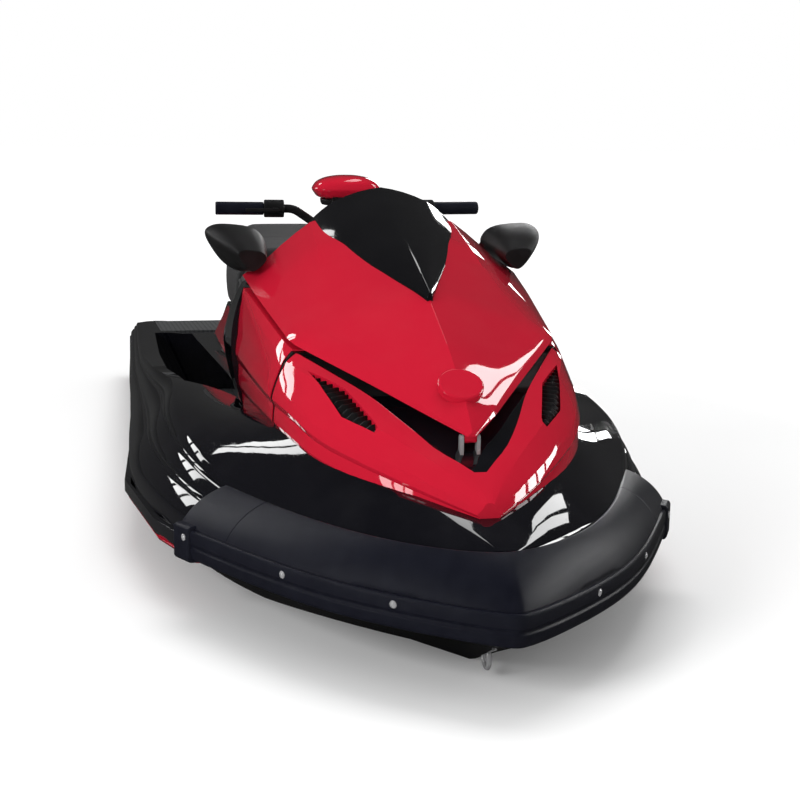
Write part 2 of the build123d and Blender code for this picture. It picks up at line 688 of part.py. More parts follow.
with BuildPart() as port_glass:
    with BuildSketch(section_plane(MIRROR_AFT)):
        with BuildLine():
            Polyline(*mirror_outline(MIRROR_RIM), close=True)
        make_face()
    extrude(amount=MIRROR_GLASS)
with BuildPart() as mirror_glass:
    add(mirrored_pair(port_glass.part))
save(mirror_glass, "mirror_glass")


def bow_loft(low, high):
    """Solid between two plan outlines, each given as (rows, tip, inset, height)."""
    with BuildPart() as body:
        for rows, tip, inset, height in (low, high):
            with BuildSketch(plan_plane(height)):
                with BuildLine():
                    Polyline(*bow_plan(rows, tip, inset), close=True)
                make_face()
        loft(ruled=True)
    return body.part


band_form = bow_loft((BOW_RAIL, BOW_TIP, BAND_INSET, RAIL_TOP), (BAND_EDGE, BAND_TIP, 0, BUMPER_TOP))
rail_form = bow_loft((BOW_RAIL, BOW_TIP, 4, BOND_HEIGHT - 8), (BOW_RAIL, BOW_TIP, 0, RAIL_TOP))
bow_core = box_between((2600, -BOW_CORE_HALF, 0), (2900, BOW_CORE_HALF, 1000))
behind_split = box_between((2000, -900, 0), (CORNER_SPLIT, 900, 1000))

# Bow bumper: upper band in three moulded pieces above one rubber rail
with BuildPart() as bow_bumper:
    add(band_form)
    add(deck.part, mode=Mode.SUBTRACT)
    add(front_cowl.part, mode=Mode.SUBTRACT)
    add(behind_split, mode=Mode.SUBTRACT)
save(bow_bumper, "bow_bumper")

with BuildPart() as bumper_corners:
    add(band_form)
    add(bow_core, mode=Mode.SUBTRACT)
    add(deck.part, mode=Mode.SUBTRACT)
    add(box_between((CORNER_SPLIT - BUMPER_JOINT, -900, 0), (4000, 900, 1000)), mode=Mode.SUBTRACT)
save(bumper_corners, "bumper_corners")

with BuildPart() as bow_rail:
    add(rail_form)
    with BuildSketch(plan_plane(BOND_HEIGHT - 14)):
        with BuildLine():
            Polyline(*bow_plan(BOW_RAIL[:2], BOW_RAIL[1].station + 1, -CAP_PROUD), close=True)
        make_face()
    extrude(amount=RAIL_TOP - BOND_HEIGHT + 20)
    add(box_between((BOW_RAIL[0].station + CAP_LENGTH, -900, 0), (BOW_RAIL[1].station + 9, 900, 1000)),
        mode=Mode.SUBTRACT)
    add(rail_form)
    add(bow_core, mode=Mode.SUBTRACT)
    add(deck.part, mode=Mode.SUBTRACT)
    add(hull_form, mode=Mode.SUBTRACT)
    add(bumper_corners.part, mode=Mode.SUBTRACT)
save(bow_rail, "bow_rail")


def edge_half(station):
    """Half-breadth of the bond line."""
    return row_value(HULL, station, "bond_half")


def edge_strip(low, high, proud):
    """Strip along the port bond line, rooted inside the hull for the hull to be cut from it."""
    stations = [RAIL_START] + [row.station for row in HULL if RAIL_START < row.station < RAIL_END] + [RAIL_END]
    with BuildPart() as strip:
        for station in stations:
            reach = edge_half(station)
            with BuildSketch(section_plane(station)):
                with BuildLine():
                    Polyline((reach - STRIP_ROOT, low), (reach + proud - STRIPE_PROUD, low),
                             (reach + proud, low + STRIP_LOW_BEVEL), (reach + proud, high - STRIP_HIGH_BEVEL),
                             (reach - STRIP_ROOT, high), close=True)
                make_face()
        loft(ruled=True)
    return strip.part


# Side rails and the red stripes under them
with BuildPart() as side_rails:
    add(mirrored_pair(edge_strip(RAIL_LOW, RAIL_HIGH, RAIL_PROUD)))
    add(deck_form, mode=Mode.SUBTRACT)
    add(hull_form, mode=Mode.SUBTRACT)
save(side_rails, "side_rails")

with BuildPart() as side_stripes:
    add(mirrored_pair(edge_strip(RAIL_LOW - STRIPE_HEIGHT, RAIL_LOW, STRIPE_PROUD)))
    add(hull_form, mode=Mode.SUBTRACT)
save(side_stripes, "side_stripes")

# Steering: clamped bar with its column, padded cap, grips, switch pods and throttle lever
with BuildPart() as handlebar:
    with Locations(steering_plane):
        Cylinder(COLUMN_RADIUS, COLUMN_DEPTH, align=(Align.CENTER, Align.CENTER, Align.MAX))
    with Locations(steering_plane):
        Box(CLAMP_LENGTH, CLAMP_WIDTH, CLAMP_HEIGHT, align=(Align.CENTER, Align.CENTER, Align.MIN))
    with BuildLine() as bar_line:
        FilletPolyline(at(COLUMN_STATION - 8, 0, COLUMN_HEIGHT + 14),
                       at(COLUMN_STATION - 8, BAR_ROOT_HALF, COLUMN_HEIGHT + 14),
                       at(COLUMN_STATION - 18, BAR_RISE_HALF, BAR_HEIGHT),
                       at(COLUMN_STATION - BAR_SWEEP, BAR_REACH, BAR_HEIGHT), radius=BAR_BEND)
    with BuildSketch(Plane(origin=bar_line.line @ 0, z_dir=bar_line.line % 0)):
        Circle(BAR_RADIUS)
    sweep(path=bar_line.line)
    mirror(about=Plane.XZ)
save(handlebar, "handlebar")

with BuildPart() as handlebar_pad:
    with BuildSketch(side_plane()):
        with BuildLine():
            Polyline(*[(COLUMN_STATION + ahead, COLUMN_HEIGHT + above) for ahead, above in PAD_OUTLINE],
                     close=True)
        make_face()
    extrude(amount=PAD_HALF, both=True)
    chamfer(handlebar_pad.edges().filter_by(Axis.Y, reverse=True).group_by(Axis.Z)[-1], PAD_CHAMFER)
    add(handlebar.part, mode=Mode.SUBTRACT)
save(handlebar_pad, "handlebar_pad")

bar_end = at(COLUMN_STATION - BAR_SWEEP, BAR_REACH, BAR_HEIGHT)
bar_inner = at(COLUMN_STATION - 18, BAR_RISE_HALF, BAR_HEIGHT)
grip_axis = Plane(origin=bar_end, z_dir=bar_inner - bar_end)


def bar_sleeve(start, length, radius):
    """Pair of sleeves on the bar, start measured inboard from its end."""
    with BuildPart() as sleeve:
        with Locations(grip_axis.offset(start)):
            Cylinder(radius, length, align=(Align.CENTER, Align.CENTER, Align.MIN))
            Cylinder(BAR_RADIUS, length, align=(Align.CENTER, Align.CENTER, Align.MIN), mode=Mode.SUBTRACT)
    return mirrored_pair(sleeve.part)


with BuildPart() as grips:
    add(bar_sleeve(0, GRIP_LENGTH, GRIP_RADIUS))
save(grips, "grips")

with BuildPart() as switch_pods:
    add(bar_sleeve(GRIP_LENGTH + 1, SWITCH_LENGTH, GRIP_RADIUS + SWITCH_PROUD))
save(switch_pods, "switch_pods")

with BuildPart() as throttle_lever:
    pod_centre = bar_end + (bar_inner - bar_end).normalized() * (GRIP_LENGTH + 1 + SWITCH_LENGTH / 2)
    lever_root = Vector(pod_centre.X, -pod_centre.Y, pod_centre.Z)
    with Locations(lever_root + Vector(LEVER_REACH, 0, 0)):
        Box(LEVER_REACH, LEVER_WIDTH, LEVER_THICK)
    with Locations(lever_root + Vector(LEVER_REACH + LEVER_WIDTH - 3, (LEVER_WIDTH - LEVER_LENGTH) / 2, 0)):
        Box(LEVER_WIDTH - 4, LEVER_LENGTH, LEVER_THICK)
    add(switch_pods.part, mode=Mode.SUBTRACT)
save(throttle_lever, "throttle_lever")


def panel_strip():
    """Red panel on the port side of the pedestal."""
    foot, root = PEDESTAL_BASE + PANEL_FOOT, 30
    with BuildPart() as strip:
        for station in PANEL_STATIONS:
            base = row_value(PEDESTAL, station, "base_half")
            top = row_value(PEDESTAL, station, "top_half")
            height = row_value(PEDESTAL, station, "top")
            with BuildSketch(section_plane(station)):
                with BuildLine():
                    Polyline((base - root, foot), (base - PANEL_THICK, foot),
                             (top + PANEL_THICK, height - PANEL_EDGE), (top - root, height - PANEL_EDGE),
                             close=True)
                make_face()
        loft(ruled=True)
    return strip.part


# Red side panels, the foam mats and the passenger's handle
with BuildPart() as side_panels:
    add(mirrored_pair(panel_strip()))
    add(pedestal.part, mode=Mode.SUBTRACT)
    add(lofted(PEDESTAL, pedestal_half), mode=Mode.SUBTRACT)
    add(deck.part, mode=Mode.SUBTRACT)
save(side_panels, "side_panels")

with BuildPart() as footwell_mats:
    add(mirrored_pair(prism(trough_plan(-4), FLOOR_HEIGHT, FLOOR_HEIGHT + MAT)))
save(footwell_mats, "footwell_mats")

with BuildPart() as platform_mat:
    add(box_between((PLATFORM_MAT_START, -PLATFORM_MAT_HALF, 470), (PLATFORM_MAT_END, PLATFORM_MAT_HALF, 530)))
    add(deck.part, mode=Mode.SUBTRACT)
    deck_slope = (DECK[1].inner - DECK[0].inner) / (DECK[1].station - DECK[0].station)
    split(bisect_by=Plane(origin=at(0, 0, DECK[0].inner + MAT), z_dir=(-deck_slope, 0, 1)), keep=Keep.BOTTOM)
save(platform_mat, "platform_mat")

with BuildPart() as grab_handle:
    with BuildLine() as hoop:
        FilletPolyline(at(HANDLE_STATION, HANDLE_HALF, HANDLE_FOOT),
                       at(HANDLE_STATION - HANDLE_LEAN, HANDLE_HALF, HANDLE_TOP),
                       at(HANDLE_STATION - HANDLE_LEAN, -HANDLE_HALF, HANDLE_TOP),
                       at(HANDLE_STATION, -HANDLE_HALF, HANDLE_FOOT), radius=HANDLE_BEND)
    with BuildSketch(Plane(origin=hoop.line @ 0, z_dir=hoop.line % 0)):
        Circle(HANDLE_RADIUS)
    sweep(path=hoop.line)
    add(deck.part, mode=Mode.SUBTRACT)
save(grab_handle, "grab_handle")


def sponson():
    """Port sponson, rooted inside the hull for the hull to be cut from it."""
    with BuildPart() as body:
        for row in SPONSON:
            with BuildSketch(section_plane(row.station)):
                with BuildLine():
                    Polyline((SPONSON_ROOT, row.low), (row.out, row.low + 8), (row.out, row.high - 14),
                             (SPONSON_ROOT, row.high), close=True)
                make_face()
        loft(ruled=True)
    return body.part


# Sponsons on the hull's sides aft
with BuildPart() as sponsons:
    add(mirrored_pair(sponson()))
    add(hull_form, mode=Mode.SUBTRACT)
save(sponsons, "sponsons")



def tow_eye(place):
    """Upright ring that stands out of the hull."""
    with BuildPart() as eye:
        with Locations(at(*place)):
            Torus(EYE_RING, EYE_ROD, rotation=(90, 0, 0))
    return eye.part


# Tow eyes at the bow and the stern
with BuildPart() as bow_eye:
    add(tow_eye(BOW_EYE))
    add(hull_form, mode=Mode.SUBTRACT)
save(bow_eye, "bow_eye")

with BuildPart() as stern_eyes:
    add(mirrored_pair(tow_eye(STERN_EYE)))
    add(hull_form, mode=Mode.SUBTRACT)
save(stern_eyes, "stern_eyes")


def shaft_cylinder(radius, start, end):
    """Cylinder about the drive shaft's line between two stations."""
    with BuildPart() as body:
        with Locations(at((start + end) / 2, 0, SHAFT_HEIGHT)):
            Cylinder(radius, end - start, rotation=(0, 90, 0))
    return body.part


def upright_cylinder(radius, low, high):
    """Cylinder about the nozzle's upright pivot line between two heights."""
    with BuildPart() as body:
        with Locations(at(NOZZLE_PIVOT, 0, (low + high) / 2)):
            Cylinder(radius, high - low)
    return body.part


def cross_cylinder(radius, inside, outside):
    """Cylinder about the bucket's cross axis between two offsets to port."""
    with BuildPart() as body:
        with Locations(at(NOZZLE_PIVOT, (inside + outside) / 2, SHAFT_HEIGHT)):
            Cylinder(radius, outside - inside, rotation=(90, 0, 0))
    return body.part


NOZZLE_REACH = NOZZLE_INLET + NOZZLE_WALL
LUG_LOW = NOZZLE_REACH + 4



def shaft_spoke(station, turn):
    """Plane on the drive shaft whose normal points out along a spoke, turned from upright."""
    return Plane(origin=at(station, 0, SHAFT_HEIGHT), x_dir=(1, 0, 0),
                 z_dir=(0, sin(radians(turn)), cos(radians(turn))))


# Pump housing: bored tube with a flange, stator vanes and the shaft's bearing hub
with BuildPart() as pump_housing:
    vane_start = PUMP_START + OUTLET_FLANGE_THICK
    add(shaft_cylinder(PUMP_RADIUS, vane_start, PUMP_END))
    add(shaft_cylinder(FLANGE_RADIUS, PUMP_END - FLANGE_THICK, PUMP_END))
    add(shaft_cylinder(PUMP_BORE, vane_start - 1, PUMP_END + 1), mode=Mode.SUBTRACT)
    vane_length = IMPELLER_START - MOVING_GAP * 2 - vane_start
    for index in range(VANES):
        with Locations(shaft_spoke(vane_start + vane_length / 2, 360 / VANES * index)):
            with Locations((0, 0, (HUB_RADIUS + PUMP_BORE) / 2)):
                Box(vane_length, VANE_THICK, PUMP_BORE - HUB_RADIUS + 8)
    add(shaft_cylinder(HUB_RADIUS, vane_start - MOVING_GAP, IMPELLER_START - MOVING_GAP - 1))
    add(shaft_cylinder(SHAFT_RADIUS + SHAFT_FIT, PUMP_START + 20, IMPELLER_START), mode=Mode.SUBTRACT)
save(pump_housing, "pump_housing")

# Pump outlet: flanged jet tube with the lugs and arms that nozzle and bucket swing on
with BuildPart() as pump_outlet:
    flange_end = PUMP_START + OUTLET_FLANGE_THICK
    add(shaft_cylinder(OUTLET_RADIUS, OUTLET_END, flange_end))
    add(shaft_cylinder(FLANGE_RADIUS, PUMP_START, flange_end))
    lug_end = NOZZLE_PIVOT - LUG_ROUND
    arm_offset = BUCKET_HALF - ARM_INSET
    for side in (-1, 1):
        with Locations(at((flange_end + lug_end) / 2, 0, SHAFT_HEIGHT + side * (LUG_LOW + LUG_THICK / 2))):
            Box(flange_end - lug_end, LUG_WIDTH, LUG_THICK)
        with Locations(at((flange_end + lug_end) / 2, side * arm_offset, SHAFT_HEIGHT)):
            Box(flange_end - lug_end, ARM_THICK, ARM_HEIGHT)
        with Locations(at((PUMP_START + flange_end) / 2, side * (arm_offset - ARM_THICK), SHAFT_HEIGHT)):
            Box(OUTLET_FLANGE_THICK, 3 * ARM_THICK, ARM_HEIGHT)
    add(upright_cylinder(PIVOT_PIN, SHAFT_HEIGHT + NOZZLE_INLET - 2, SHAFT_HEIGHT + LUG_LOW + 1))
    add(upright_cylinder(PIVOT_PIN, SHAFT_HEIGHT - LUG_LOW - 1, SHAFT_HEIGHT - NOZZLE_INLET + 2))
    add(mirrored_pair(cross_cylinder(PIVOT_PIN, arm_offset + ARM_THICK / 2 - 1, BUCKET_HALF + 2)))
    add(shaft_cylinder(OUTLET_BORE, OUTLET_END - 1, flange_end + 1), mode=Mode.SUBTRACT)
save(pump_outlet, "pump_outlet")

# Impeller on its drive shaft, which runs forward to the engine
with BuildPart() as impeller:
    add(shaft_cylinder(SHAFT_RADIUS, PUMP_START + 24, ENGINE_START - SEAT_FIT))
    add(shaft_cylinder(HUB_RADIUS, IMPELLER_START, IMPELLER_START + IMPELLER_LENGTH))
    for index in range(BLADES):
        with Locations(shaft_spoke(IMPELLER_START + IMPELLER_LENGTH / 2, 360 / BLADES * index)):
            with Locations(Location((0, 0, (HUB_RADIUS + IMPELLER_TIP) / 2 - 4), (0, 0, BLADE_PITCH))):
                Box(IMPELLER_LENGTH - 6, BLADE_THICK, IMPELLER_TIP - HUB_RADIUS + 8)
save(impeller, "impeller")


def bell(front_radius, rear_radius, front, rear):
    """Cone about the shaft's line."""
    with BuildPart() as body:
        with Locations(at((front + rear) / 2, 0, SHAFT_HEIGHT)):
            Cone(rear_radius, front_radius, front - rear, rotation=(0, 90, 0))
    return body.part


# Steering nozzle, a bell round the pump's outlet
with BuildPart() as steering_nozzle:
    add(bell(NOZZLE_REACH, NOZZLE_OUTLET + NOZZLE_WALL, NOZZLE_FRONT, NOZZLE_END))
    add(bell(NOZZLE_INLET, NOZZLE_OUTLET, NOZZLE_FRONT + 1, NOZZLE_END - 1), mode=Mode.SUBTRACT)
    add(upright_cylinder(PIVOT_PIN + SHAFT_FIT, 0, 260), mode=Mode.SUBTRACT)
save(steering_nozzle, "steering_nozzle")

# Reverse bucket, held up clear of the jet; its scoop is a band of a drum about the cross axis
with BuildPart() as reverse_bucket:
    with BuildSketch(side_plane(BUCKET_HALF)):
        with BuildLine():
            low, high = radians(180 - BUCKET_LOW), radians(180 - BUCKET_HIGH)
            rim = BUCKET_RADIUS + BUCKET_WALL
            centre_x, centre_y = NOZZLE_PIVOT, SHAFT_HEIGHT
            Polyline((centre_x - 16, centre_y - 10), (centre_x + rim * cos(low), centre_y + rim * sin(low)))
            RadiusArc((centre_x + rim * cos(low), centre_y + rim * sin(low)),
                      (centre_x + rim * cos(high), centre_y + rim * sin(high)), rim)
            Polyline((centre_x + rim * cos(high), centre_y + rim * sin(high)), (centre_x + 16, centre_y - 10),
                     (centre_x - 16, centre_y - 10))
        make_face()
    extrude(amount=2 * BUCKET_HALF)
    add(box_between((0, -BUCKET_HALF + BUCKET_WALL, 0), (600, BUCKET_HALF - BUCKET_WALL, 600)),
        mode=Mode.SUBTRACT)
    with BuildSketch(side_plane(BUCKET_HALF - BUCKET_WALL)):
        with BuildLine():
            for radius in (BUCKET_RADIUS, rim):
                RadiusArc((centre_x + radius * cos(low), centre_y + radius * sin(low)),
                          (centre_x + radius * cos(high), centre_y + radius * sin(high)), radius)
            for angle in (low, high):
                Line((centre_x + BUCKET_RADIUS * cos(angle), centre_y + BUCKET_RADIUS * sin(angle)),
                     (centre_x + rim * cos(angle), centre_y + rim * sin(angle)))
        make_face()
    extrude(amount=2 * (BUCKET_HALF - BUCKET_WALL))
    add(mirrored_pair(cross_cylinder(PIVOT_PIN + SHAFT_FIT, BUCKET_HALF - 30, BUCKET_HALF + 1)),
        mode=Mode.SUBTRACT)
save(reverse_bucket, "reverse_bucket")


def keel_plate(start, end, half, low, thick):
    """Plate that follows the hull's shallow vee."""
    edge = low + BOTTOM_SLOPE * half
    with BuildPart() as plate:
        with BuildSketch(section_plane(start)):
            with BuildLine():
                Polyline((0, low), (half, edge), (half, edge + thick), (0, low + thick), (-half, edge + thick),
                         (-half, edge), close=True)
            make_face()
        extrude(amount=end - start)
    return plate.part


# Ride plate that closes the jet-drive bay from below
with BuildPart() as ride_plate:
    add(keel_plate(RIDE_START, PUMP_BAY_LENGTH - 2, PUMP_BAY_HALF - SEAT_FIT, 2, RIDE_THICK))
save(ride_plate, "ride_plate")

# Intake grate: bars along the opening in the hull bottom, tied by two cross bars
with BuildPart() as intake_grate:
    for offset in GRATE_BARS:
        rise = GRATE_LOW + abs(offset) * BOTTOM_SLOPE
        add(box_between((PUMP_BAY_LENGTH, offset - GRATE_BAR_THICK / 2, rise),
                        (BAY_START, offset + GRATE_BAR_THICK / 2, rise + GRATE_DEPTH)))
    for share in (1 / 3, 2 / 3):
        station = GRATE_START + share * (INTAKE_END - GRATE_START)
        add(keel_plate(station, station + GRATE_BAR_THICK, INTAKE_HALF - SEAT_FIT, GRATE_LOW + 2, GRATE_DEPTH - 5))
    add(hull_shell.part, mode=Mode.SUBTRACT)
    add(ride_plate.part, mode=Mode.SUBTRACT)
    add(box_between((0, -PUMP_BAY_HALF, -100), (GRATE_START, PUMP_BAY_HALF, PUMP_BAY_TOP)), mode=Mode.SUBTRACT)
save(intake_grate, "intake_grate")



def step_rod(radius, half_length):
    """Rod along the boarding step's hinge line."""
    with BuildPart() as rod:
        with Locations(at(-STEP_OUT, 0, STEP_HEIGHT)):
            Cylinder(radius, 2 * half_length, rotation=(90, 0, 0))
    return rod.part


# Boarding step: hinged hoop on the transom, and the two brackets that hold it
with BuildPart() as step_brackets:
    add(step_rod(STEP_PIN, STEP_HALF + STEP_BRACKET_OUT))
    add(box_between((-2 * STEP_OUT, -STEP_HALF + STEP_HUB, STEP_HEIGHT - STEP_OUT),
                    (0, STEP_HALF - STEP_HUB, STEP_HEIGHT + STEP_OUT)), mode=Mode.SUBTRACT)
    for side in (-1, 1):
        with Locations(at(-STEP_OUT / 2 - STEP_ROD, side * (STEP_HALF + STEP_BRACKET_OUT - 3), STEP_HEIGHT)):
            Box(STEP_OUT + 2 * STEP_ROD, 12, 30)
save(step_brackets, "step_brackets")

with BuildPart() as boarding_step:
    with BuildLine() as step_line:
        FilletPolyline(at(-STEP_OUT, STEP_HALF, STEP_HEIGHT), at(-STEP_OUT, STEP_HALF, STEP_HEIGHT + STEP_REACH),
                       at(-STEP_OUT, -STEP_HALF, STEP_HEIGHT + STEP_REACH),
                       at(-STEP_OUT, -STEP_HALF, STEP_HEIGHT), radius=STEP_BEND)
    with BuildSketch(Plane(origin=step_line.line @ 0, z_dir=step_line.line % 0)):
        Circle(STEP_ROD)
    sweep(path=step_line.line)
    for side in (-1, 1):
        with Locations(at(-STEP_OUT, side * STEP_HALF, STEP_HEIGHT)):
            Cylinder(STEP_HUB, STEP_HUB + 2, rotation=(90, 0, 0))
    add(step_rod(STEP_PIN + SHAFT_FIT, STEP_HALF + STEP_HUB + STEP_ROD), mode=Mode.SUBTRACT)
save(boarding_step, "boarding_step")
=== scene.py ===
from collections import namedtuple
from math import cos, pi, radians, sin

import bmesh
import bpy
import numpy as np
from mathutils import Matrix, Vector


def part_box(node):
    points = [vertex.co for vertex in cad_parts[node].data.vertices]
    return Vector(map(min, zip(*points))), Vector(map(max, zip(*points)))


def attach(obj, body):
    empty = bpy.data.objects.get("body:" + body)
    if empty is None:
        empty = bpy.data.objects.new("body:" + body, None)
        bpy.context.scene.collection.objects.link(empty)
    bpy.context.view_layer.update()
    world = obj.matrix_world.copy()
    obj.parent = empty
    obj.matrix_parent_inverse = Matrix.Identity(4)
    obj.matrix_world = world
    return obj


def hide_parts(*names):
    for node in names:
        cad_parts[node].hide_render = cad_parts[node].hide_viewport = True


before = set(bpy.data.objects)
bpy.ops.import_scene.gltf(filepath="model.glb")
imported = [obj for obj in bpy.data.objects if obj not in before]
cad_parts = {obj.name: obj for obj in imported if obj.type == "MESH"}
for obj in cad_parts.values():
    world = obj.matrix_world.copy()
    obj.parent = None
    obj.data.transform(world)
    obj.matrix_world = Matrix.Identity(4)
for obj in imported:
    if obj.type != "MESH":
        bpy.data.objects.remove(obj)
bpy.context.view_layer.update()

bl_info = {
    "name": "Personal watercraft",
    "version": (1, 0, 0),
    "blender": (4, 5, 0),
    "location": "3D view > Sidebar > Watercraft",
    "description": "Dresses the packed watercraft with its skins, seats and finishes and sets up its studio",
    "category": "Object",
}

# Frame of the lines plan: stations from the transom and heights above the keel, in millimetres
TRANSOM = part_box("deck")[0].x
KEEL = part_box("hull_shell")[0].z

# Bodies that most pieces ride on
HULL_BODY, BAR_BODY, HOOD_BODY = "hull_and_deck", "steering_bar", "hood_set"

# Heights that several pieces share
BOND_HEIGHT = 420
RAIL_TOP = 475
BUMPER_TOP = 556
FLOOR_HEIGHT = 300
DRAFT = 282

# Walls and clearances
DECK_WALL = 12
HOOD_WALL = 14
SEAT_FIT = 0.3
HOOD_GAP = 12

# Where the shapes that cut openings end: past the face they cut, astern of and under the hull, well
# outboard, and over the troughs, the cowl and the hood
OVERLAP = 5
CUT_AFT, CUT_LOW, CUT_HALF = -20, -60, 500
TROUGH_CUT_TOP, COWL_CUT_LOW, COWL_CUT_TOP, HOOD_CUT_TOP = 900, 500, 1000, 1200

# Steering column and its bore
COLUMN_TILT, COLUMN_TOP = 28, 38
COLUMN_BORE_DEPTH, COLUMN_BORE_REACH, COLUMN_BORE_RADIUS = 152, 100, 22

# Hood hinge lug, boss on the hood, and station of the gap between cowl and flank with the black sheet set
# into it, which is painted shade down in the gap
HINGE_STATION, HINGE_HEIGHT = 2985, 706
LUG_HALF, LUG_RADIUS, LUG_FOOT = 12, 9, 16
BOSS_STATION, BOSS_RISE, BOSS_TILT = 2909, 6, 29
BOSS_CHAMFER, BOSS_ROOT = 3, -12
PANEL_GAP, GAP_SHADE_SET_BACK = 2607, 3

# Room for the jet drive under the stern
SHAFT_HEIGHT, SHAFT_WAY_RADIUS, SHAFT_WAY_LAP = 128, 100, 2
PUMP_BAY_LENGTH, PUMP_BAY_HALF, PUMP_BAY_TOP = 560, 158, 262
BUCKET_WELL_LOW, BUCKET_WELL_TOP, BUCKET_WELL_END = 202, 326, 352

# Hull bottom, bond flange and deck, one row for each station, and half the width of the keel's flat
KEEL_FLAT = 6
Hull = namedtuple("Hull", "station keel quarter_half quarter chine_half chine bond_half")
HULL = [
    Hull(0, 6, 215, 98, 440, 190, 478),
    Hull(1000, 0, 225, 98, 468, 196, 536),
    Hull(1700, 0, 225, 104, 468, 206, 566),
    Hull(2150, 6, 215, 120, 455, 226, 604),
    Hull(2500, 58, 170, 165, 385, 262, 560),
    Hull(2800, 165, 120, 240, 285, 312, 458),
    Hull(3020, 268, 72, 316, 175, 354, 330),
    Hull(3180, 348, 40, 372, 92, 388, 195),
    Hull(3300, 398, 12, 404, 26, 410, 52),
]

Deck = namedtuple("Deck", "station bond_half side_half side ridge_half ridge inner_half inner")
DECK = [
    Deck(0, 478, 486, 450, 462, 486, 330, 488),
    Deck(500, 508, 516, 460, 486, 506, 330, 508),
    Deck(1000, 536, 545, 468, 505, 534, 330, 536),
    Deck(1500, 560, 566, 478, 500, 584, 330, 566),
    Deck(1900, 588, 594, 478, 480, 634, 310, 572),
    Deck(2200, 604, 606, 474, 508, 632, 338, 618),
    Deck(2500, 560, 560, 476, 494, 604, 330, 668),
    Deck(2740, 485, 478, 478, 412, 555, 296, 664),
    Deck(2980, 352, 345, 474, 298, 555, 178, 628),
    Deck(3120, 248, 238, 472, 196, 555, 56, 602),
    Deck(3235, 138, 120, 470, 30, 553, 8, 556),
]

# Bow bumper: plan of its rubber rail and of the upper band's inner edge
Bow = namedtuple("Bow", "station rail_half")
BOW_RAIL = [Bow(2690, 540), Bow(2820, 473), Bow(2950, 400), Bow(3060, 333), Bow(3160, 248),
            Bow(3240, 162), Bow(3300, 88), Bow(3340, 34)]
BOW_TIP = 3352
BAND_EDGE = [Bow(2690, 436), Bow(2820, 383), Bow(2950, 317), Bow(3060, 250), Bow(3140, 180),
             Bow(3200, 112), Bow(3232, 48), Bow(3238, 20)]
BAND_TIP = 3241
BAND_INSET = 9
CORNER_SPLIT, CORNER_LAP = 2835, 12
CAP_LENGTH, CAP_PROUD = 62, 5
BOLT_STATIONS, BOLT_HEIGHT = (2722, 3005, 3205), 458
BOLT_PROFILE = [(0, 2.6), (2.5, 2.4), (4.5, 1.5), (5.5, 0.4), (7.5, 0.2), (7.5, -6), (0, -6)]

# Grooves along the gunwale's outer face: share of its height and depth
GUNWALE_GROOVES = [(0.34, 0), (0.38, 4), (0.44, 4), (0.48, 0), (0.72, 0), (0.75, 3), (0.80, 3), (0.83, 0)]

# Foot troughs
Trough = namedtuple("Trough", "station inner_half outer_half")
TROUGH = [Trough(385, 296, 424), Trough(1000, 296, 452), Trough(1500, 296, 466), Trough(1880, 300, 450)]

# Engine space and storage bin
BAY_START, BAY_END, BAY_HALF, BAY_FLOOR, BAY_TOP = 1010, 1900, 222, 112, 550
Bin = namedtuple("Bin", "station half bottom top")
BIN = [Bin(2215, 214, 392, 848), Bin(2755, 150, 438, 752)]

# Top of the pedestal, and the seats that lie on it
Pedestal = namedtuple("Pedestal", "station top")
PEDESTAL = [Pedestal(430, 590), Pedestal(560, 640), Pedestal(1000, 660), Pedestal(1300, 640),
            Pedestal(1640, 640)]
Seat = namedtuple("Seat", "station base_half shoulder_half shoulder top_half top")
FRONT_SEAT = [
    Seat(1002, 203, 205, 775, 125, 846),
    Seat(1060, 203, 205, 760, 130, 812),
    Seat(1300, 203, 200, 740, 130, 788),
    Seat(1636, 168, 150, 730, 85, 776),
]
REAR_SEAT = [
    Seat(434, 148, 140, 790, 70, 872),
    Seat(560, 188, 185, 830, 120, 908),
    Seat(760, 196, 205, 815, 135, 872),
    Seat(998, 203, 205, 800, 125, 866),
]

# Console between seat and hood: gloss black flanks with the steering tower on top
Console = namedtuple("Console", "station base_half base bulge_half bulge upper_half upper top_half top")
CONSOLE = [
    Console(1640, 232, 540, 236, 650, 190, 770, 90, 830),
    Console(1760, 292, 540, 330, 735, 262, 865, 100, 940),
    Console(1980, 300, 540, 364, 745, 318, 885, 120, 975),
    Console(2198, 318, 560, 368, 765, 338, 900, 150, 985),
]

# Red bodywork: hood above its seam, cowl and flanks below it
Hood = namedtuple("Hood", "station seam_half seam crest_half crest crease_half crease ridge")
HOOD = [
    Hood(2146, 334, 922, 276, 962, 173, 1047, 1086),
    Hood(2300, 322, 893, 278, 928, 180, 1000, 1044),
    Hood(2606, 289, 834, 272, 846, 206, 868, 944),
    Hood(2804, 156, 779, 140, 792, 90, 816, 855),
    Hood(2950, 56, 734, 52, 742, 34, 754, 772),
    Hood(3003, 8, 712, 7, 715, 5, 718, 722),
]
# The cowl's lip runs HOOD_GAP under the hood's seam, and fall is how far it drops below that line
Cowl = namedtuple("Cowl", "station lip_half fall grille_half grille bulge_half bulge edge_half edge")
FLANK = [
    Cowl(2202, 338, 0, 343, 868, 352, 790, 336, 590),
    Cowl(2400, 316, 0, 330, 838, 342, 770, 334, 610),
    Cowl(2600, 292, 0, 308, 800, 328, 750, 322, 620),
]
COWL = [
    Cowl(2606, 292, 0, 308, 800, 328, 750, 322, 620),
    Cowl(2731, 218, 0, 264, 784, 300, 738, 300, 610),
    Cowl(2831, 158, 0, 222, 750, 268, 704, 273, 600),
    Cowl(2923, 118, 4, 170, 717, 212, 682, 217, 590),
    Cowl(2990, 82, 3, 118, 694, 160, 664, 172, 580),
    Cowl(3072, 12, 40, 50, 655, 92, 638, 102, 570),
    Cowl(3138, 3, 82, 8, 616, 14, 606, 20, 560),
]
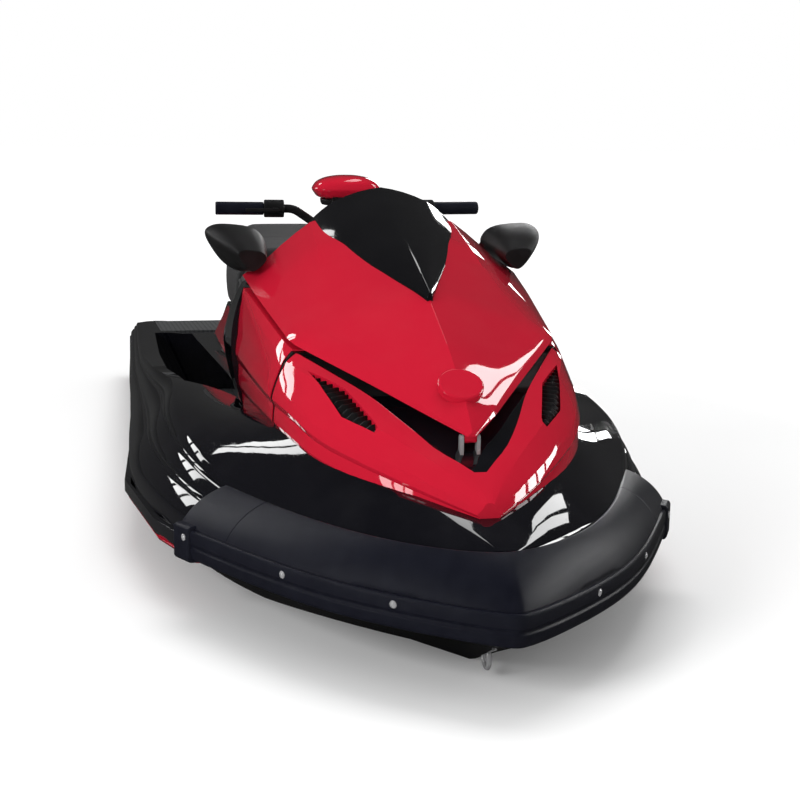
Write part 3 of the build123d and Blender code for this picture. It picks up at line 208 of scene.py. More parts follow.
FLANK_INNER = 262
# Sculpted lines of the cowl between its edge and its bulge: share of the height and how far they stand proud
COWL_RIDGES = [(0.30, 1), (0.40, 7), (0.66, 3), (0.78, 9)]

# Grilles: plan outline of the openings in the cowl's cheeks
Corner = namedtuple("Corner", "station offset")
GRILLE = [Corner(2694, 268), Corner(2784, 208), Corner(2906, 169), Corner(2920, 167), Corner(2925, 175),
          Corner(2880, 208), Corner(2853, 226), Corner(2774, 249)]
GRILLE_DEPTH, GRILLE_SET_BACK = 16, 4
# Black panel in the notch between hood tip and cowl, set down below the cowl's lip
Chin = namedtuple("Chin", "station half fall")
CHIN = [Chin(2775, 190, 16), Chin(2831, 157, 16), Chin(2923, 117, 22), Chin(2990, 81, 24), Chin(3068, 12, 54)]
CHIN_BOTTOM = 640
# Black sheet that shows in the seam between hood and cowl, aft of the chin panel: painted shade down in the
# seam
SEAM_SHADE_SHEET = [Chin(2609, 288, 9), Chin(2700, 234, 11), Chin(2792, 180, 15)]
# Windscreen, and how far its skirt reaches down into the hood
SCREEN_SKIRT = 25
Screen = namedtuple("Screen", "station edge_half edge brow_half brow top")
SCREEN = [
    Screen(2126, 172, 1046, 110, 1096, 1128),
    Screen(2242, 163, 1016, 102, 1058, 1088),
    Screen(2450, 80, 974, 44, 1004, 1016),
    Screen(2646, 5, 936, 3, 941, 943),
]
# Mirrors: outline seen from ahead, offset outboard and height; the stem it shrinks toward, and its share
# of full size at each station
MIRROR_OUTLINE = [(336, 920), (376, 944), (414, 1002), (416, 1026), (384, 1040), (290, 1030), (262, 985)]
MIRROR_STEM, MIRROR_STEPS = (300, 950), [(2050, 0.97), (2062, 1.0), (2150, 0.86), (2226, 0.45)]
# Handlebar pad: share of its plan at each share of its height, and how square its plan is
PAD_PROFILE = [(0.05, 0.22), (0.80, 0.22), (0.97, 0.50), (0.97, 0.58), (0.86, 0.78), (0.62, 0.92),
               (0.30, 0.99), (0.06, 1.0)]
PAD_FOOT = [(0.05, 0.0), (0.68, 0.0), (0.72, 0.08), (0.74, 0.23), (0.05, 0.23)]
PAD_SQUARENESS = 0.8

# Samples that round each corner of a table, distances in metres under which points merge, and the angle in
# degrees under which neighbouring faces count as flat
FAIRING_SAMPLES = 9
SKIN_WELD, CAD_WELD = 1e-6, 2e-5
FLAT_ANGLE = 1


def millimetres(length):
    """Millimetres of a length that the settings hold in metres."""
    return round(length * 1000, 3)


def at(station, offset, height):
    """Point of the scene for a station, an offset to port and a height above the keel."""
    return Vector((TRANSOM + station / 1000, offset / 1000, KEEL + height / 1000))


def faired(places, values, samples, blur):
    """Values read off straight lines between the places, with every corner rounded over blur each way."""
    before = values[0] - (values[1] - values[0]) * blur / (places[1] - places[0])
    after = values[-1] + (values[-1] - values[-2]) * blur / (places[-1] - places[-2])
    places = np.concatenate([[places[0] - blur], places, [places[-1] + blur]])
    known = np.vstack([before, values, after])
    spread = np.linspace(-blur, blur, FAIRING_SAMPLES)
    return np.array([np.mean([np.interp(samples + shift, places, column) for shift in spread], axis=0)
                     for column in known.T]).T


def smooth_table(rows, spacing, blur=80):
    """Rows of a table at a closer spacing, with the columns faired."""
    values = np.array(rows, dtype=float)
    count = round((values[-1, 0] - values[0, 0]) / spacing) + 1
    samples = np.linspace(values[0, 0], values[-1, 0], count)
    return [type(rows[0])(*row) for row in faired(values[:, 0], values, samples, blur)]


def smooth_path(points, parts=8, blur=0.9):
    """Open run of points with parts more to each step, and its corners faired."""
    values = np.array(points, dtype=float)
    places = np.arange(len(values), dtype=float)
    return faired(places, values, np.linspace(0, len(values) - 1, (len(values) - 1) * parts + 1), blur)


def smooth_ring(points, parts=6, blur=0.8):
    """Closed outline with its corners faired."""
    wrapped = list(points[-2:]) + list(points) + list(points[:3])
    path = smooth_path(wrapped, parts, blur)
    return path[2 * parts:(2 + len(points)) * parts]


def row_value(rows, station, name):
    """Value of a column between two rows of a table."""
    return float(np.interp(station, [row.station for row in rows], [getattr(row, name) for row in rows]))


def crowned(points, sag, parts):
    """Outline with each straight side bowed outward by sag, as a share of its length."""
    bowed = []
    for (y0, z0), (y1, z1) in zip(points, points[1:]):
        for share in np.arange(parts) / parts:
            lift = 4 * share * (1 - share) * sag
            bowed.append((y0 + (y1 - y0) * share + (z1 - z0) * lift,
                          z0 + (z1 - z0) * share - (y1 - y0) * lift))
    return bowed + [points[-1]]


def mesh_object(name, points, faces):
    """Mesh of points and faces with its normals turned outward."""
    mesh = bpy.data.meshes.new(name)
    mesh.from_pydata([tuple(p) for p in points], [], faces)
    fit = bmesh.new()
    fit.from_mesh(mesh)
    bmesh.ops.remove_doubles(fit, verts=fit.verts, dist=SKIN_WELD)
    bmesh.ops.recalc_face_normals(fit, faces=fit.faces)
    fit.to_mesh(mesh)
    fit.free()
    piece = bpy.data.objects.new(name, mesh)
    bpy.context.scene.collection.objects.link(piece)
    return piece


def turns(sides):
    """Angles of equal steps round a circle."""
    return [2 * pi * k / sides for k in range(sides)]


def ring_faces(rings, count):
    """Faces that join rings of count points, each to the next."""
    return [(ring * count + k, ring * count + (k + 1) % count,
             (ring + 1) * count + (k + 1) % count, (ring + 1) * count + k)
            for ring in range(rings - 1) for k in range(count)]


def loop_skin(name, loops):
    """Closed skin through equal loops of points, capped at both ends."""
    count = len(loops[0])
    points = [p for loop in loops for p in loop]
    faces = ring_faces(len(loops), count)
    faces += [tuple(range(count)), tuple(range(len(points) - count, len(points)))]
    return mesh_object(name, points, faces)


def skin(name, rows, half_outline, spacing=40, blur=80, sag=0.0, parts=1):
    """Closed skin through the faired sections of a table, both sides from the port half."""
    loops = []
    for row in smooth_table(rows, spacing, blur):
        half = crowned(half_outline(row), sag, parts)
        loops.append([at(row.station, y, z) for y, z in half + [(-y, z) for y, z in reversed(half)]])
    return loop_skin(name, loops)


def prism(name, points, low, high):
    """Upright prism over a plan outline of (station, offset) points."""
    return loop_skin(name, [[at(s, y, z) for s, y in points] for z in (low, high)])


def block(name, low, high):
    """Box between two (station, offset, height) corners."""
    (s0, y0, z0), (s1, y1, z1) = low, high
    return prism(name, [(s0, y0), (s1, y0), (s1, y1), (s0, y1)], z0, z1)


def tube(name, start, end, radius, sides=48):
    """Round bar between two points of the scene, its radius in millimetres."""
    along = (end - start).normalized()
    across = along.orthogonal().normalized()
    up = along.cross(across)
    radius = radius / 1000
    ring = [across * cos(turn) * radius + up * sin(turn) * radius for turn in turns(sides)]
    return loop_skin(name, [[start + p for p in ring], [end + p for p in ring]])


def combine(piece, tool, operation="DIFFERENCE"):
    """Cuts a tool from a piece, or joins it on, and removes the tool."""
    step = piece.modifiers.new("combine", "BOOLEAN")
    step.operation, step.solver, step.object = operation, "EXACT", tool
    bake(piece)
    bpy.data.objects.remove(tool)
    return piece


def bake(piece):
    """Turns a piece's modifiers into mesh."""
    made = bpy.data.meshes.new_from_object(piece.evaluated_get(bpy.context.evaluated_depsgraph_get()))
    piece.modifiers.clear()
    piece.data = made


def rounded(piece, radius, angle=30, segments=3):
    """Rounds a piece's edges by radius in millimetres and smooths its shading."""
    if radius:
        edge = piece.modifiers.new("rounding", "BEVEL")
        edge.width, edge.segments, edge.limit_method = radius / 1000, segments, "ANGLE"
        edge.angle_limit, edge.harden_normals = radians(angle), False
        edge.use_clamp_overlap = True
    piece.modifiers.new("normals", "WEIGHTED_NORMAL").keep_sharp = True
    for face in piece.data.polygons:
        face.use_smooth = True
    return piece


def finished(piece, body, slot, nodes=(), finish=None):
    """Gives a piece the material of its slot and its body, and hides the CAD nodes it stands for."""
    piece.data.materials.clear()
    piece.data.materials.append((finish or MATERIALS[slot])())
    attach(piece, body)
    if nodes:
        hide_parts(*nodes)
    return piece


def dressed(node, body, slot, radius):
    """Copy of a CAD node, its edges rounded by radius in millimetres, which stands for it."""
    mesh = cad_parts[node].data.copy()
    piece = bpy.data.objects.new(f"{node}_finish", mesh)
    bpy.context.scene.collection.objects.link(piece)
    fit = bmesh.new()
    fit.from_mesh(mesh)
    bmesh.ops.remove_doubles(fit, verts=fit.verts, dist=CAD_WELD)
    bmesh.ops.dissolve_limit(fit, angle_limit=radians(FLAT_ANGLE), verts=fit.verts, edges=fit.edges)
    fit.to_mesh(mesh)
    fit.free()
    return finished(rounded(piece, radius), body, slot, [node])


# The next functions give the port half of each section, as points of (offset, height) from its foot up

def hull_half(row):
    return [(KEEL_FLAT, row.keel), (row.quarter_half, row.quarter), (row.chine_half, row.chine),
            (row.bond_half, BOND_HEIGHT)]


def deck_half(row):
    low, high = np.array((row.side_half, row.side)), np.array((row.ridge_half, row.ridge))
    grooved = [low + (high - low) * share - (inset, 0) for share, inset in GUNWALE_GROOVES]
    return [(row.bond_half, BOND_HEIGHT), *map(tuple, [low, *grooved, high]), (row.inner_half, row.inner)]


def console_half(row):
    return [(row.base_half, row.base), (row.bulge_half, row.bulge), (row.upper_half, row.upper),
            (row.top_half, row.top)]


def seam_height(station):
    """Height of the hood's seam, which the cowl and the chin panel follow."""
    return row_value(SMOOTH_HOOD, station, "seam")


def cowl_half(row):
    lip = seam_height(row.station) - HOOD_GAP - row.fall
    low, high = np.array((row.edge_half, row.edge)), np.array((row.bulge_half, row.bulge))
    ridges = [tuple(low + (high - low) * share + (proud, 0)) for share, proud in COWL_RIDGES]
    return [(row.edge_half, row.edge), *ridges, (row.bulge_half, row.bulge), (row.grille_half, row.grille),
            (row.lip_half, lip)]


def chin_half(row):
    return [(row.half, CHIN_BOTTOM), (row.half, seam_height(row.station) - HOOD_GAP - row.fall)]


def pocket_half(row):
    return [(row.half, CHIN_BOTTOM), (row.half, COWL_CUT_TOP)]


def sunk_cowl_half(depth, inset=0):
    """Cowl section let down by a depth and drawn in by an inset."""
    return lambda row: [(y - inset, z - depth) for y, z in cowl_half(row)]


def hood_half(row, wall=0):
    """Section of the hood, or of its hollow where a wall is given."""
    return [(row.seam_half - 1.5 * wall, row.seam - wall / 2),
            (row.crest_half - 1.2 * wall, row.crest - wall),
            (row.crease_half - wall / 2, row.crease - wall), (0, row.ridge - wall)]


def screen_half(row):
    return [(row.edge_half, row.edge - SCREEN_SKIRT), (row.edge_half, row.edge), (row.brow_half, row.brow),
            (0, row.top)]


def seat_half(row):
    return [(row.base_half, row_value(PEDESTAL, row.station, "top") + SEAT_FIT),
            (row.shoulder_half, row.shoulder), (row.top_half, row.top)]


def trough_plan(wall):
    """Plan outline of the port trough, wall larger than the open space."""
    inner = [(row.station, row.inner_half - wall) for row in TROUGH]
    outer = [(row.station, row.outer_half + wall) for row in TROUGH]
    inner[0], outer[0] = (inner[0][0] - wall, inner[0][1]), (outer[0][0] - wall, outer[0][1])
    inner[-1], outer[-1] = (inner[-1][0] + wall, inner[-1][1]), (outer[-1][0] + wall, outer[-1][1])
    return inner + outer[::-1]


def both_troughs(wall, low, high):
    """Both foot troughs as one shape between two heights, wall larger than the open space."""
    plan = trough_plan(wall)
    port = prism("trough", plan, low, high)
    return combine(port, prism("trough_twin", [(s, -y) for s, y in reversed(plan)], low, high), "UNION")


SMOOTH_HOOD = smooth_table(HOOD, spacing=20, blur=50)


def new_group(name, inputs, outputs):
    """Shader node group with its number sockets; gives the group, its input and its output node."""
    group = bpy.data.node_groups.new(name, "ShaderNodeTree")
    for socket, value in inputs:
        made = group.interface.new_socket(socket, in_out="INPUT", socket_type="NodeSocketFloat")
        made.default_value = value
    for socket in outputs:
        group.interface.new_socket(socket, in_out="OUTPUT", socket_type="NodeSocketFloat")
    return group, group.nodes.new("NodeGroupInput"), group.nodes.new("NodeGroupOutput")


def add_node(tree, kind, values=(), **settings):
    """Node of a kind with settings and socket values; a value may be another node's output."""
    made = tree.nodes.new(kind)
    for name, value in settings.items():
        setattr(made, name, value)
    for socket, value in dict(values).items():
        if isinstance(value, bpy.types.NodeSocket):
            tree.links.new(value, made.inputs[socket])
        else:
            made.inputs[socket].default_value = value
    return made


def noise(tree, where, scale, detail=4.0, roughness=0.5):
    """Noise over the surface, from 0 to 1."""
    return add_node(tree, "ShaderNodeTexNoise", {"Vector": where, "Scale": scale, "Detail": detail,
                                                 "Roughness": roughness}).outputs["Fac"]


def ranged(tree, value, low, high, to_low=0.0, to_high=1.0):
    """Value carried from one range to another and held at its ends."""
    return add_node(tree, "ShaderNodeMapRange", {0: value, 1: low, 2: high, 3: to_low, 4: to_high}).outputs[0]


def maths(tree, operation, first, second=0.0):
    """Result of one operation on two numbers or outputs."""
    return add_node(tree, "ShaderNodeMath", {0: first, 1: second}, operation=operation).outputs[0]


# Noise scales of hairline scratches along, across and up the craft, and the roughness that marks add
HAIR_STRETCH = (3.0, 160.0, 60.0)
SMEAR_ROUGHNESS, HAIR_ROUGHNESS = 0.025, 0.05

# Share of the second colour that dust and a texture's tone bring (for the traction ribs that tone is painted
# shade, the grooves darker than the rib tops), strength of the relief without and with a texture, and the
# roughness of clear coats
DUST_SHADE, PATTERN_TONE_AND_GROOVE_SHADE = 0.12, 0.5
PLAIN_RELIEF, TEXTURE_RELIEF = 0.04, 0.6
COAT_ROUGHNESS = 0.01


def handling_group():
    """Faint smears, dust and hairline scratches of a craft kept in a showroom."""
    name = "handling"
    if name in bpy.data.node_groups:
        return bpy.data.node_groups[name]
    group, source, sink = new_group(name, [("Amount", 1.0), ("Roughness", 0.1)],
                                    ["Roughness", "Dust", "Height"])
    where = add_node(group, "ShaderNodeTexCoord").outputs["Object"]
    smears = ranged(group, noise(group, where, scale=7.0, detail=6.0, roughness=0.6), low=0.45, high=0.75)
    stretched = add_node(group, "ShaderNodeMapping", {"Vector": where, "Scale": HAIR_STRETCH}).outputs[0]
    hairs = ranged(group, noise(group, stretched, scale=2.0, detail=3.0), low=0.62, high=0.70)
    specks = ranged(group, noise(group, where, scale=420.0, detail=2.0), low=0.68, high=0.80)
    facing = add_node(group, "ShaderNodeNewGeometry").outputs["Normal"]
    up = add_node(group, "ShaderNodeSeparateXYZ", {0: facing})
    level = ranged(group, up.outputs["Z"], low=0.3, high=1.0)
    dust = maths(group, "MULTIPLY", maths(group, "MULTIPLY", level, maths(group, "ADD", smears, specks)),
                 source.outputs["Amount"])
    smeared = maths(group, "MULTIPLY", smears, SMEAR_ROUGHNESS)
    scratched = maths(group, "MULTIPLY", hairs, HAIR_ROUGHNESS)
    marked = maths(group, "MULTIPLY", maths(group, "ADD", smeared, scratched), source.outputs["Amount"])
    rough = maths(group, "ADD", source.outputs["Roughness"], marked)
    group.links.new(rough, sink.inputs["Roughness"])
    group.links.new(dust, sink.inputs["Dust"])
    group.links.new(maths(group, "MULTIPLY", hairs, -1.0), sink.inputs["Height"])
    return group


def grain_group():
    """Moulded grain: cells of leather or plastic with fine pores between them."""
    name = "moulded_grain"
    if name in bpy.data.node_groups:
        return bpy.data.node_groups[name]
    group, source, sink = new_group(name, [("Scale", 400.0)], ["Height", "Shade"])
    where = add_node(group, "ShaderNodeTexCoord").outputs["Object"]
    cells = add_node(group, "ShaderNodeTexVoronoi", {"Vector": where, "Scale": source.outputs["Scale"]},
                     feature="DISTANCE_TO_EDGE").outputs["Distance"]
    pits = ranged(group, cells, low=0.0, high=0.25)
    broad = noise(group, where, scale=30.0, detail=5.0)
    height = maths(group, "ADD", pits, maths(group, "MULTIPLY", broad, 0.4))
    group.links.new(height, sink.inputs["Height"])
    group.links.new(ranged(group, broad, low=0.3, high=0.7), sink.inputs["Shade"])
    return group


def tread_group():
    """Grooved traction foam: ribs along the craft with a fine cell texture, and painted shade that leaves the
    grooves darker than the rib tops.
    """
    name = "traction_ribs"
    if name in bpy.data.node_groups:
        return bpy.data.node_groups[name]
    group, source, sink = new_group(name, [("Pitch", 40.0)], ["Height", "Shade"])
    where = add_node(group, "ShaderNodeTexCoord").outputs["Object"]
    ribs = add_node(group, "ShaderNodeTexWave", {"Vector": where, "Scale": source.outputs["Pitch"],
                                                 "Distortion": 0.0}, bands_direction="Y").outputs["Fac"]
    cut = ranged(group, ribs, low=0.1, high=0.3)
    cells = noise(group, where, scale=900.0, detail=2.0)
    group.links.new(maths(group, "ADD", cut, maths(group, "MULTIPLY", cells, 0.15)), sink.inputs["Height"])
    # Shade output: the rib tops shift toward the lighter second colour and the grooves stay dark, as painted
    # shade in the grooves
    group.links.new(cut, sink.inputs["Shade"])
    return group


def material(name, colour, second_colour, roughness, metallic=0.0, coat=0.0, texture=None, texture_size=400.0,
             relief=0.0003, wear=1.0, sheen=0.0):
    """Material of one finish: its colour shifted toward a second colour by dust and by its texture's tone,
    handled roughness and an optional grain; the traction ribs' tone is painted shade in their grooves.
    """
    name = f"{name}_finish"
    if name in bpy.data.materials:
        return bpy.data.materials[name]
    made = bpy.data.materials.new(name)
    made.use_nodes = True
    tree = made.node_tree
    shader = tree.nodes["Principled BSDF"]
    handled = add_node(tree, "ShaderNodeGroup", node_tree=handling_group())
    handled.inputs["Amount"].default_value = wear
    handled.inputs["Roughness"].default_value = roughness
    shade = maths(tree, "MULTIPLY", handled.outputs["Dust"], DUST_SHADE)
    height, strength = handled.outputs["Height"], PLAIN_RELIEF
    if texture:
        pattern = add_node(tree, "ShaderNodeGroup", node_tree=texture())
        pattern.inputs[0].default_value = texture_size
        # Texture's tone: random for grain, painted shade in the grooves for the traction ribs
        shade = maths(tree, "ADD", shade, maths(tree, "MULTIPLY", pattern.outputs["Shade"], PATTERN_TONE_AND_GROOVE_SHADE))
        height, strength = pattern.outputs["Height"], TEXTURE_RELIEF
    mix = add_node(tree, "ShaderNodeMix", {"Factor": shade, "A": colour, "B": second_colour}, data_type="RGBA")
    bump = add_node(tree, "ShaderNodeBump", {"Height": height, "Strength": strength, "Distance": relief})
    tree.links.new(mix.outputs["Result"], shader.inputs["Base Color"])
    tree.links.new(handled.outputs["Roughness"], shader.inputs["Roughness"])
    tree.links.new(bump.outputs["Normal"], shader.inputs["Normal"])
    shader.inputs["Metallic"].default_value = metallic
    shader.inputs["Coat Weight"].default_value = coat
    shader.inputs["Coat Roughness"].default_value = COAT_ROUGHNESS
    shader.inputs["Sheen Weight"].default_value = sheen
    return made


def red_gloss():
    return material("red_gloss", bpy.context.scene.craft.red, (0.62, 0.06, 0.07, 1), 0.03, coat=1.0)


def black_gloss():
    return material("black_gloss", bpy.context.scene.craft.black, (0.05, 0.05, 0.055, 1), 0.03, coat=1.0)


def black_satin():
    return material("black_satin", bpy.context.scene.craft.satin, (0.016, 0.016, 0.017, 1), 0.42,
                    texture=grain_group, texture_size=700.0, relief=0.0002)


def screen_black():
    return material("screen_black", (0.004, 0.004, 0.005, 1), (0.02, 0.02, 0.022, 1), 0.06, coat=0.8)


def bumper_rubber():
    return material("bumper_rubber", bpy.context.scene.craft.rubber, (0.011, 0.012, 0.02, 1), 0.34,
                    texture=grain_group, texture_size=900.0, relief=0.00015)


def seat_vinyl():
    return material("seat_vinyl", bpy.context.scene.craft.vinyl, (0.04, 0.04, 0.042, 1), 0.5,
                    texture=grain_group, texture_size=320.0, relief=0.0006, sheen=0.1)


def mat_foam():
    # The second colour lightens the rib tops, so the grooves stay at the darker foam colour as painted shade
    return material("mat_foam", bpy.context.scene.craft.foam, (0.07, 0.072, 0.075, 1), 0.8,
                    texture=tread_group, texture_size=20.0, relief=0.002)


def cast_metal():
    return material("cast_metal", (0.42, 0.42, 0.43, 1), (0.25, 0.25, 0.26, 1), 0.42, metallic=0.9,
                    texture=grain_group, texture_size=260.0, relief=0.0002)


def stainless():
    return material("stainless", (0.62, 0.62, 0.63, 1), (0.5, 0.5, 0.5, 1), 0.22, metallic=0.55)


def mirror_finish():
    return material("mirror_glass", (0.85, 0.87, 0.9, 1), (0.6, 0.62, 0.64, 1), 0.02, metallic=1.0, wear=0.5)


# Material of each slot
MATERIALS = {"red_gloss": red_gloss, "black_gloss": black_gloss, "black_satin": black_satin,
             "bumper_rubber": bumper_rubber, "seat_vinyl": seat_vinyl, "mat_foam": mat_foam,
             "cast_metal": cast_metal, "stainless": stainless, "mirror_glass": mirror_finish}


def engine_space():
    """Space for the engine under the seats."""
    return block("engine_space", (BAY_START, -BAY_HALF, BAY_FLOOR), (BAY_END, BAY_HALF, BAY_TOP))


def bin_space():
    """Space for the storage bin under the hood."""
    loops = [[at(row.station, row.half, row.bottom), at(row.station, row.half, row.top),
              at(row.station, -row.half, row.top), at(row.station, -row.half, row.bottom)] for row in BIN]
    return loop_skin("bin_space", loops)


def build_hull(settings):
    edge = millimetres(settings.edge_round)
    hull = skin("hull_skin", HULL, hull_half, blur=170)
    combine(hull, both_troughs(DECK_WALL, FLOOR_HEIGHT - DECK_WALL, BOND_HEIGHT + OVERLAP))
    combine(hull, block("pump_bay", (CUT_AFT, -PUMP_BAY_HALF, CUT_LOW),
                        (PUMP_BAY_LENGTH, PUMP_BAY_HALF, PUMP_BAY_TOP)))
    combine(hull, block("bucket_well", (CUT_AFT, -PUMP_BAY_HALF, BUCKET_WELL_LOW),
                        (BUCKET_WELL_END, PUMP_BAY_HALF, BUCKET_WELL_TOP)))
    combine(hull, engine_space())
    combine(hull, tube("shaft_way", at(PUMP_BAY_LENGTH - SHAFT_WAY_LAP, 0, SHAFT_HEIGHT),
                       at(BAY_START + SHAFT_WAY_LAP, 0, SHAFT_HEIGHT), SHAFT_WAY_RADIUS))
    combine(hull, bin_space())
    finished(rounded(hull, edge, angle=25), HULL_BODY, "black_gloss", ["hull_shell", "hull_topsides"])
    deck = skin("deck_skin", DECK, deck_half, blur=120, sag=0.04, parts=4)
    combine(deck, both_troughs(DECK_WALL, FLOOR_HEIGHT - DECK_WALL, BOND_HEIGHT + OVERLAP), "UNION")
    combine(deck, both_troughs(0, FLOOR_HEIGHT, TROUGH_CUT_TOP))
    combine(deck, engine_space())
    combine(deck, bin_space())
    finished(rounded(deck, edge, angle=25), HULL_BODY, "black_gloss", ["deck"])


def leaned(station, height, tilt):
    """Frame on the centreline with its third axis leaned aft of upright by tilt degrees."""
    turn = Matrix.Rotation(-radians(tilt), 4, "Y")
    return Matrix.Translation(at(station, 0, height)) @ turn


def lathe(name, profile, placing, sides=64):
    """Turned solid from a profile of (radius, height) in millimetres, set in a frame."""
    points = [placing @ Vector((radius * cos(turn) / 1000, radius * sin(turn) / 1000, height / 1000))
              for radius, height in profile for turn in turns(sides)]
    return mesh_object(name, points, ring_faces(len(profile), sides))


def grille_rooms():
    """Openings of both grilles, down to a floor that follows the cowl."""
    plan = [(corner.station, corner.offset) for corner in GRILLE]
    room = prism("grille_room", plan, CHIN_BOTTOM, BIN[0].top)
    twin = prism("grille_twin", [(s, -y) for s, y in reversed(plan)], CHIN_BOTTOM, BIN[0].top)
    rooms = combine(room, twin, "UNION")
    return combine(rooms, skin("lowered_cowl", COWL, sunk_cowl_half(GRILLE_DEPTH), spacing=24, blur=50))


def build_cowl(settings):
    """Red cowl and flanks, with the black chin panel set into them and black sheets as painted shade down in
    the seam and in the panel gap.
    """
    edge, gap_end = millimetres(settings.edge_round), PANEL_GAP + millimetres(settings.panel_gap)
    cowl = skin("cowl_skin", FLANK[:2] + COWL, cowl_half, spacing=24, blur=50, sag=settings.crown, parts=4)
    combine(cowl, block("hood_space", (FLANK[0].station - OVERLAP, -FLANK_INNER, COWL_CUT_LOW),
                        (FLANK[-1].station, FLANK_INNER, COWL_CUT_TOP)))
    combine(cowl, bin_space())
    combine(cowl, skin("chin_pocket", CHIN, pocket_half, spacing=24, blur=40))
    combine(cowl, skin("seam_shade_pocket", SEAM_SHADE_SHEET, pocket_half, spacing=24, blur=20))
    # Black sheet below the cowl's lip under the seam: painted shade down in the seam between hood and cowl
    seam_shade = combine(skin("seam_shade_sheet", SEAM_SHADE_SHEET, chin_half, spacing=24, blur=20), bin_space())
    finished(rounded(seam_shade, 0), HULL_BODY, "black_satin")
    combine(cowl, grille_rooms())
    gap = (PANEL_GAP, -CUT_HALF, COWL_CUT_LOW), (gap_end, CUT_HALF, COWL_CUT_TOP)
    combine(cowl, block("panel_gap", *gap))
    # Black sheet set just under the cowl's face in the panel gap: painted shade down in the gap
    gap_shade = skin("gap_shade_sheet", COWL, sunk_cowl_half(GAP_SHADE_SET_BACK, GAP_SHADE_SET_BACK), spacing=24, blur=50)
    combine(gap_shade, block("filler_reach", *gap), "INTERSECT")
    combine(gap_shade, bin_space())
    finished(rounded(gap_shade, 0), HULL_BODY, "black_satin")
    finished(rounded(cowl, edge, angle=14), HULL_BODY, "red_gloss", ["front_cowl", "flank_panels"])
    chin = skin("chin_skin", CHIN, chin_half, spacing=24, blur=40)
    finished(rounded(chin, edge, angle=20), HULL_BODY, "black_gloss", ["chin_panel"])


def build_hood(settings):
    """Red hood, hollow underneath, with its plain boss and its hinge lug."""
    edge, boss_radius = millimetres(settings.edge_round), millimetres(settings.boss_radius)
    hood = skin("hood_skin", HOOD, hood_half, spacing=15, blur=26, sag=settings.crown, parts=3)
    hollow = [HOOD[0]._replace(station=HOOD[0].station + HOOD_WALL)] + HOOD[1:4]
    combine(hood, skin("hood_hollow", hollow, lambda row: hood_half(row, HOOD_WALL), spacing=20, blur=26))
    finished(rounded(hood, edge, angle=12), HOOD_BODY, "red_gloss", ["hood"])
    boss_profile = [(0, BOSS_RISE), (boss_radius - BOSS_CHAMFER, BOSS_RISE),
                    (boss_radius, BOSS_RISE - BOSS_CHAMFER), (boss_radius, BOSS_ROOT), (0, BOSS_ROOT)]
    boss = lathe("hood_boss", boss_profile,
                 leaned(BOSS_STATION, row_value(HOOD, BOSS_STATION, "ridge"), -BOSS_TILT))
    finished(rounded(boss, 1.5), HOOD_BODY, "red_gloss")
    lug = tube("hood_lug", at(HINGE_STATION, -LUG_HALF, HINGE_HEIGHT),
               at(HINGE_STATION, LUG_HALF, HINGE_HEIGHT), LUG_RADIUS)
    combine(lug, block("lug_foot", (HINGE_STATION - LUG_RADIUS, -LUG_HALF, HINGE_HEIGHT),
                       (HINGE_STATION + LUG_RADIUS, LUG_HALF, HINGE_HEIGHT + LUG_FOOT)), "UNION")
    finished(rounded(lug, 1), HOOD_BODY, "red_gloss")


def build_console():
    """Black console with room for the engine, the hood and the steering column."""
    console = skin("console_skin", CONSOLE, console_half, spacing=24, blur=60, sag=0.05, parts=5)
    combine(console, engine_space())
    hood_floor = seam_height(CONSOLE[-1].station) - HOOD_GAP
    combine(console, block("hood_room", (HOOD[0].station - HOOD_GAP, -CUT_HALF, hood_floor),
                           (CONSOLE[-1].station + OVERLAP, CUT_HALF, HOOD_CUT_TOP)))
    lean = Vector((-sin(radians(COLUMN_TILT)), 0, cos(radians(COLUMN_TILT))))
    top = at(CONSOLE[1].station, 0, CONSOLE[1].top + COLUMN_TOP)
    combine(console, tube("column_bore", top - lean * (COLUMN_BORE_DEPTH / 1000),
                          top + lean * (COLUMN_BORE_REACH / 1000), COLUMN_BORE_RADIUS))
    finished(rounded(console, 8, angle=25), HULL_BODY, "black_gloss", ["console"])


def trim_grilles():
    """Grille slats, cut off just under the cowl's skin."""
    grilles = dressed("grilles", HULL_BODY, "black_satin", 0)
    grilles.modifiers.clear()
    trim = skin("grille_trim", COWL, sunk_cowl_half(GRILLE_SET_BACK), spacing=24, blur=50)
    rounded(combine(grilles, trim, "INTERSECT"), 0)


def build_bodywork(settings):
    build_cowl(settings)
    build_hood(settings)
    build_console()
    trim_grilles()


def piping(name, rows, radius, sides=12):
    """Welt sewn along both shoulders of a cushion."""
    strands = []
    for side in (1, -1):
        loops = [[at(row.station, side * row.shoulder_half + radius * cos(turn),
                     row.shoulder + radius * sin(turn)) for turn in turns(sides)]
                 for row in smooth_table(rows, spacing=24, blur=50)[1:-1]]
        strands.append(loop_skin(name, loops))
    return merged(name, strands)


def build_seats(settings):
    welt_radius = millimetres(settings.welt_radius)
    for name, rows, node in (("front_cushion", FRONT_SEAT, "seat_front"),
                             ("rear_cushion", REAR_SEAT, "seat_rear")):
        cushion = skin(name, rows, seat_half, spacing=30, blur=50, sag=0.06, parts=5)
        edge = cushion.modifiers.new("rounding", "BEVEL")
        edge.width, edge.segments = settings.seat_round, 3
        edge.limit_method, edge.angle_limit = "ANGLE", radians(30)
        cushion.modifiers.new("softening", "SUBSURF").levels = 1
        bake(cushion)
        finished(rounded(cushion, 0), HULL_BODY, "seat_vinyl", [node])
        finished(rounded(piping(f"{name}_piping", rows, welt_radius), 0), HULL_BODY, "seat_vinyl")


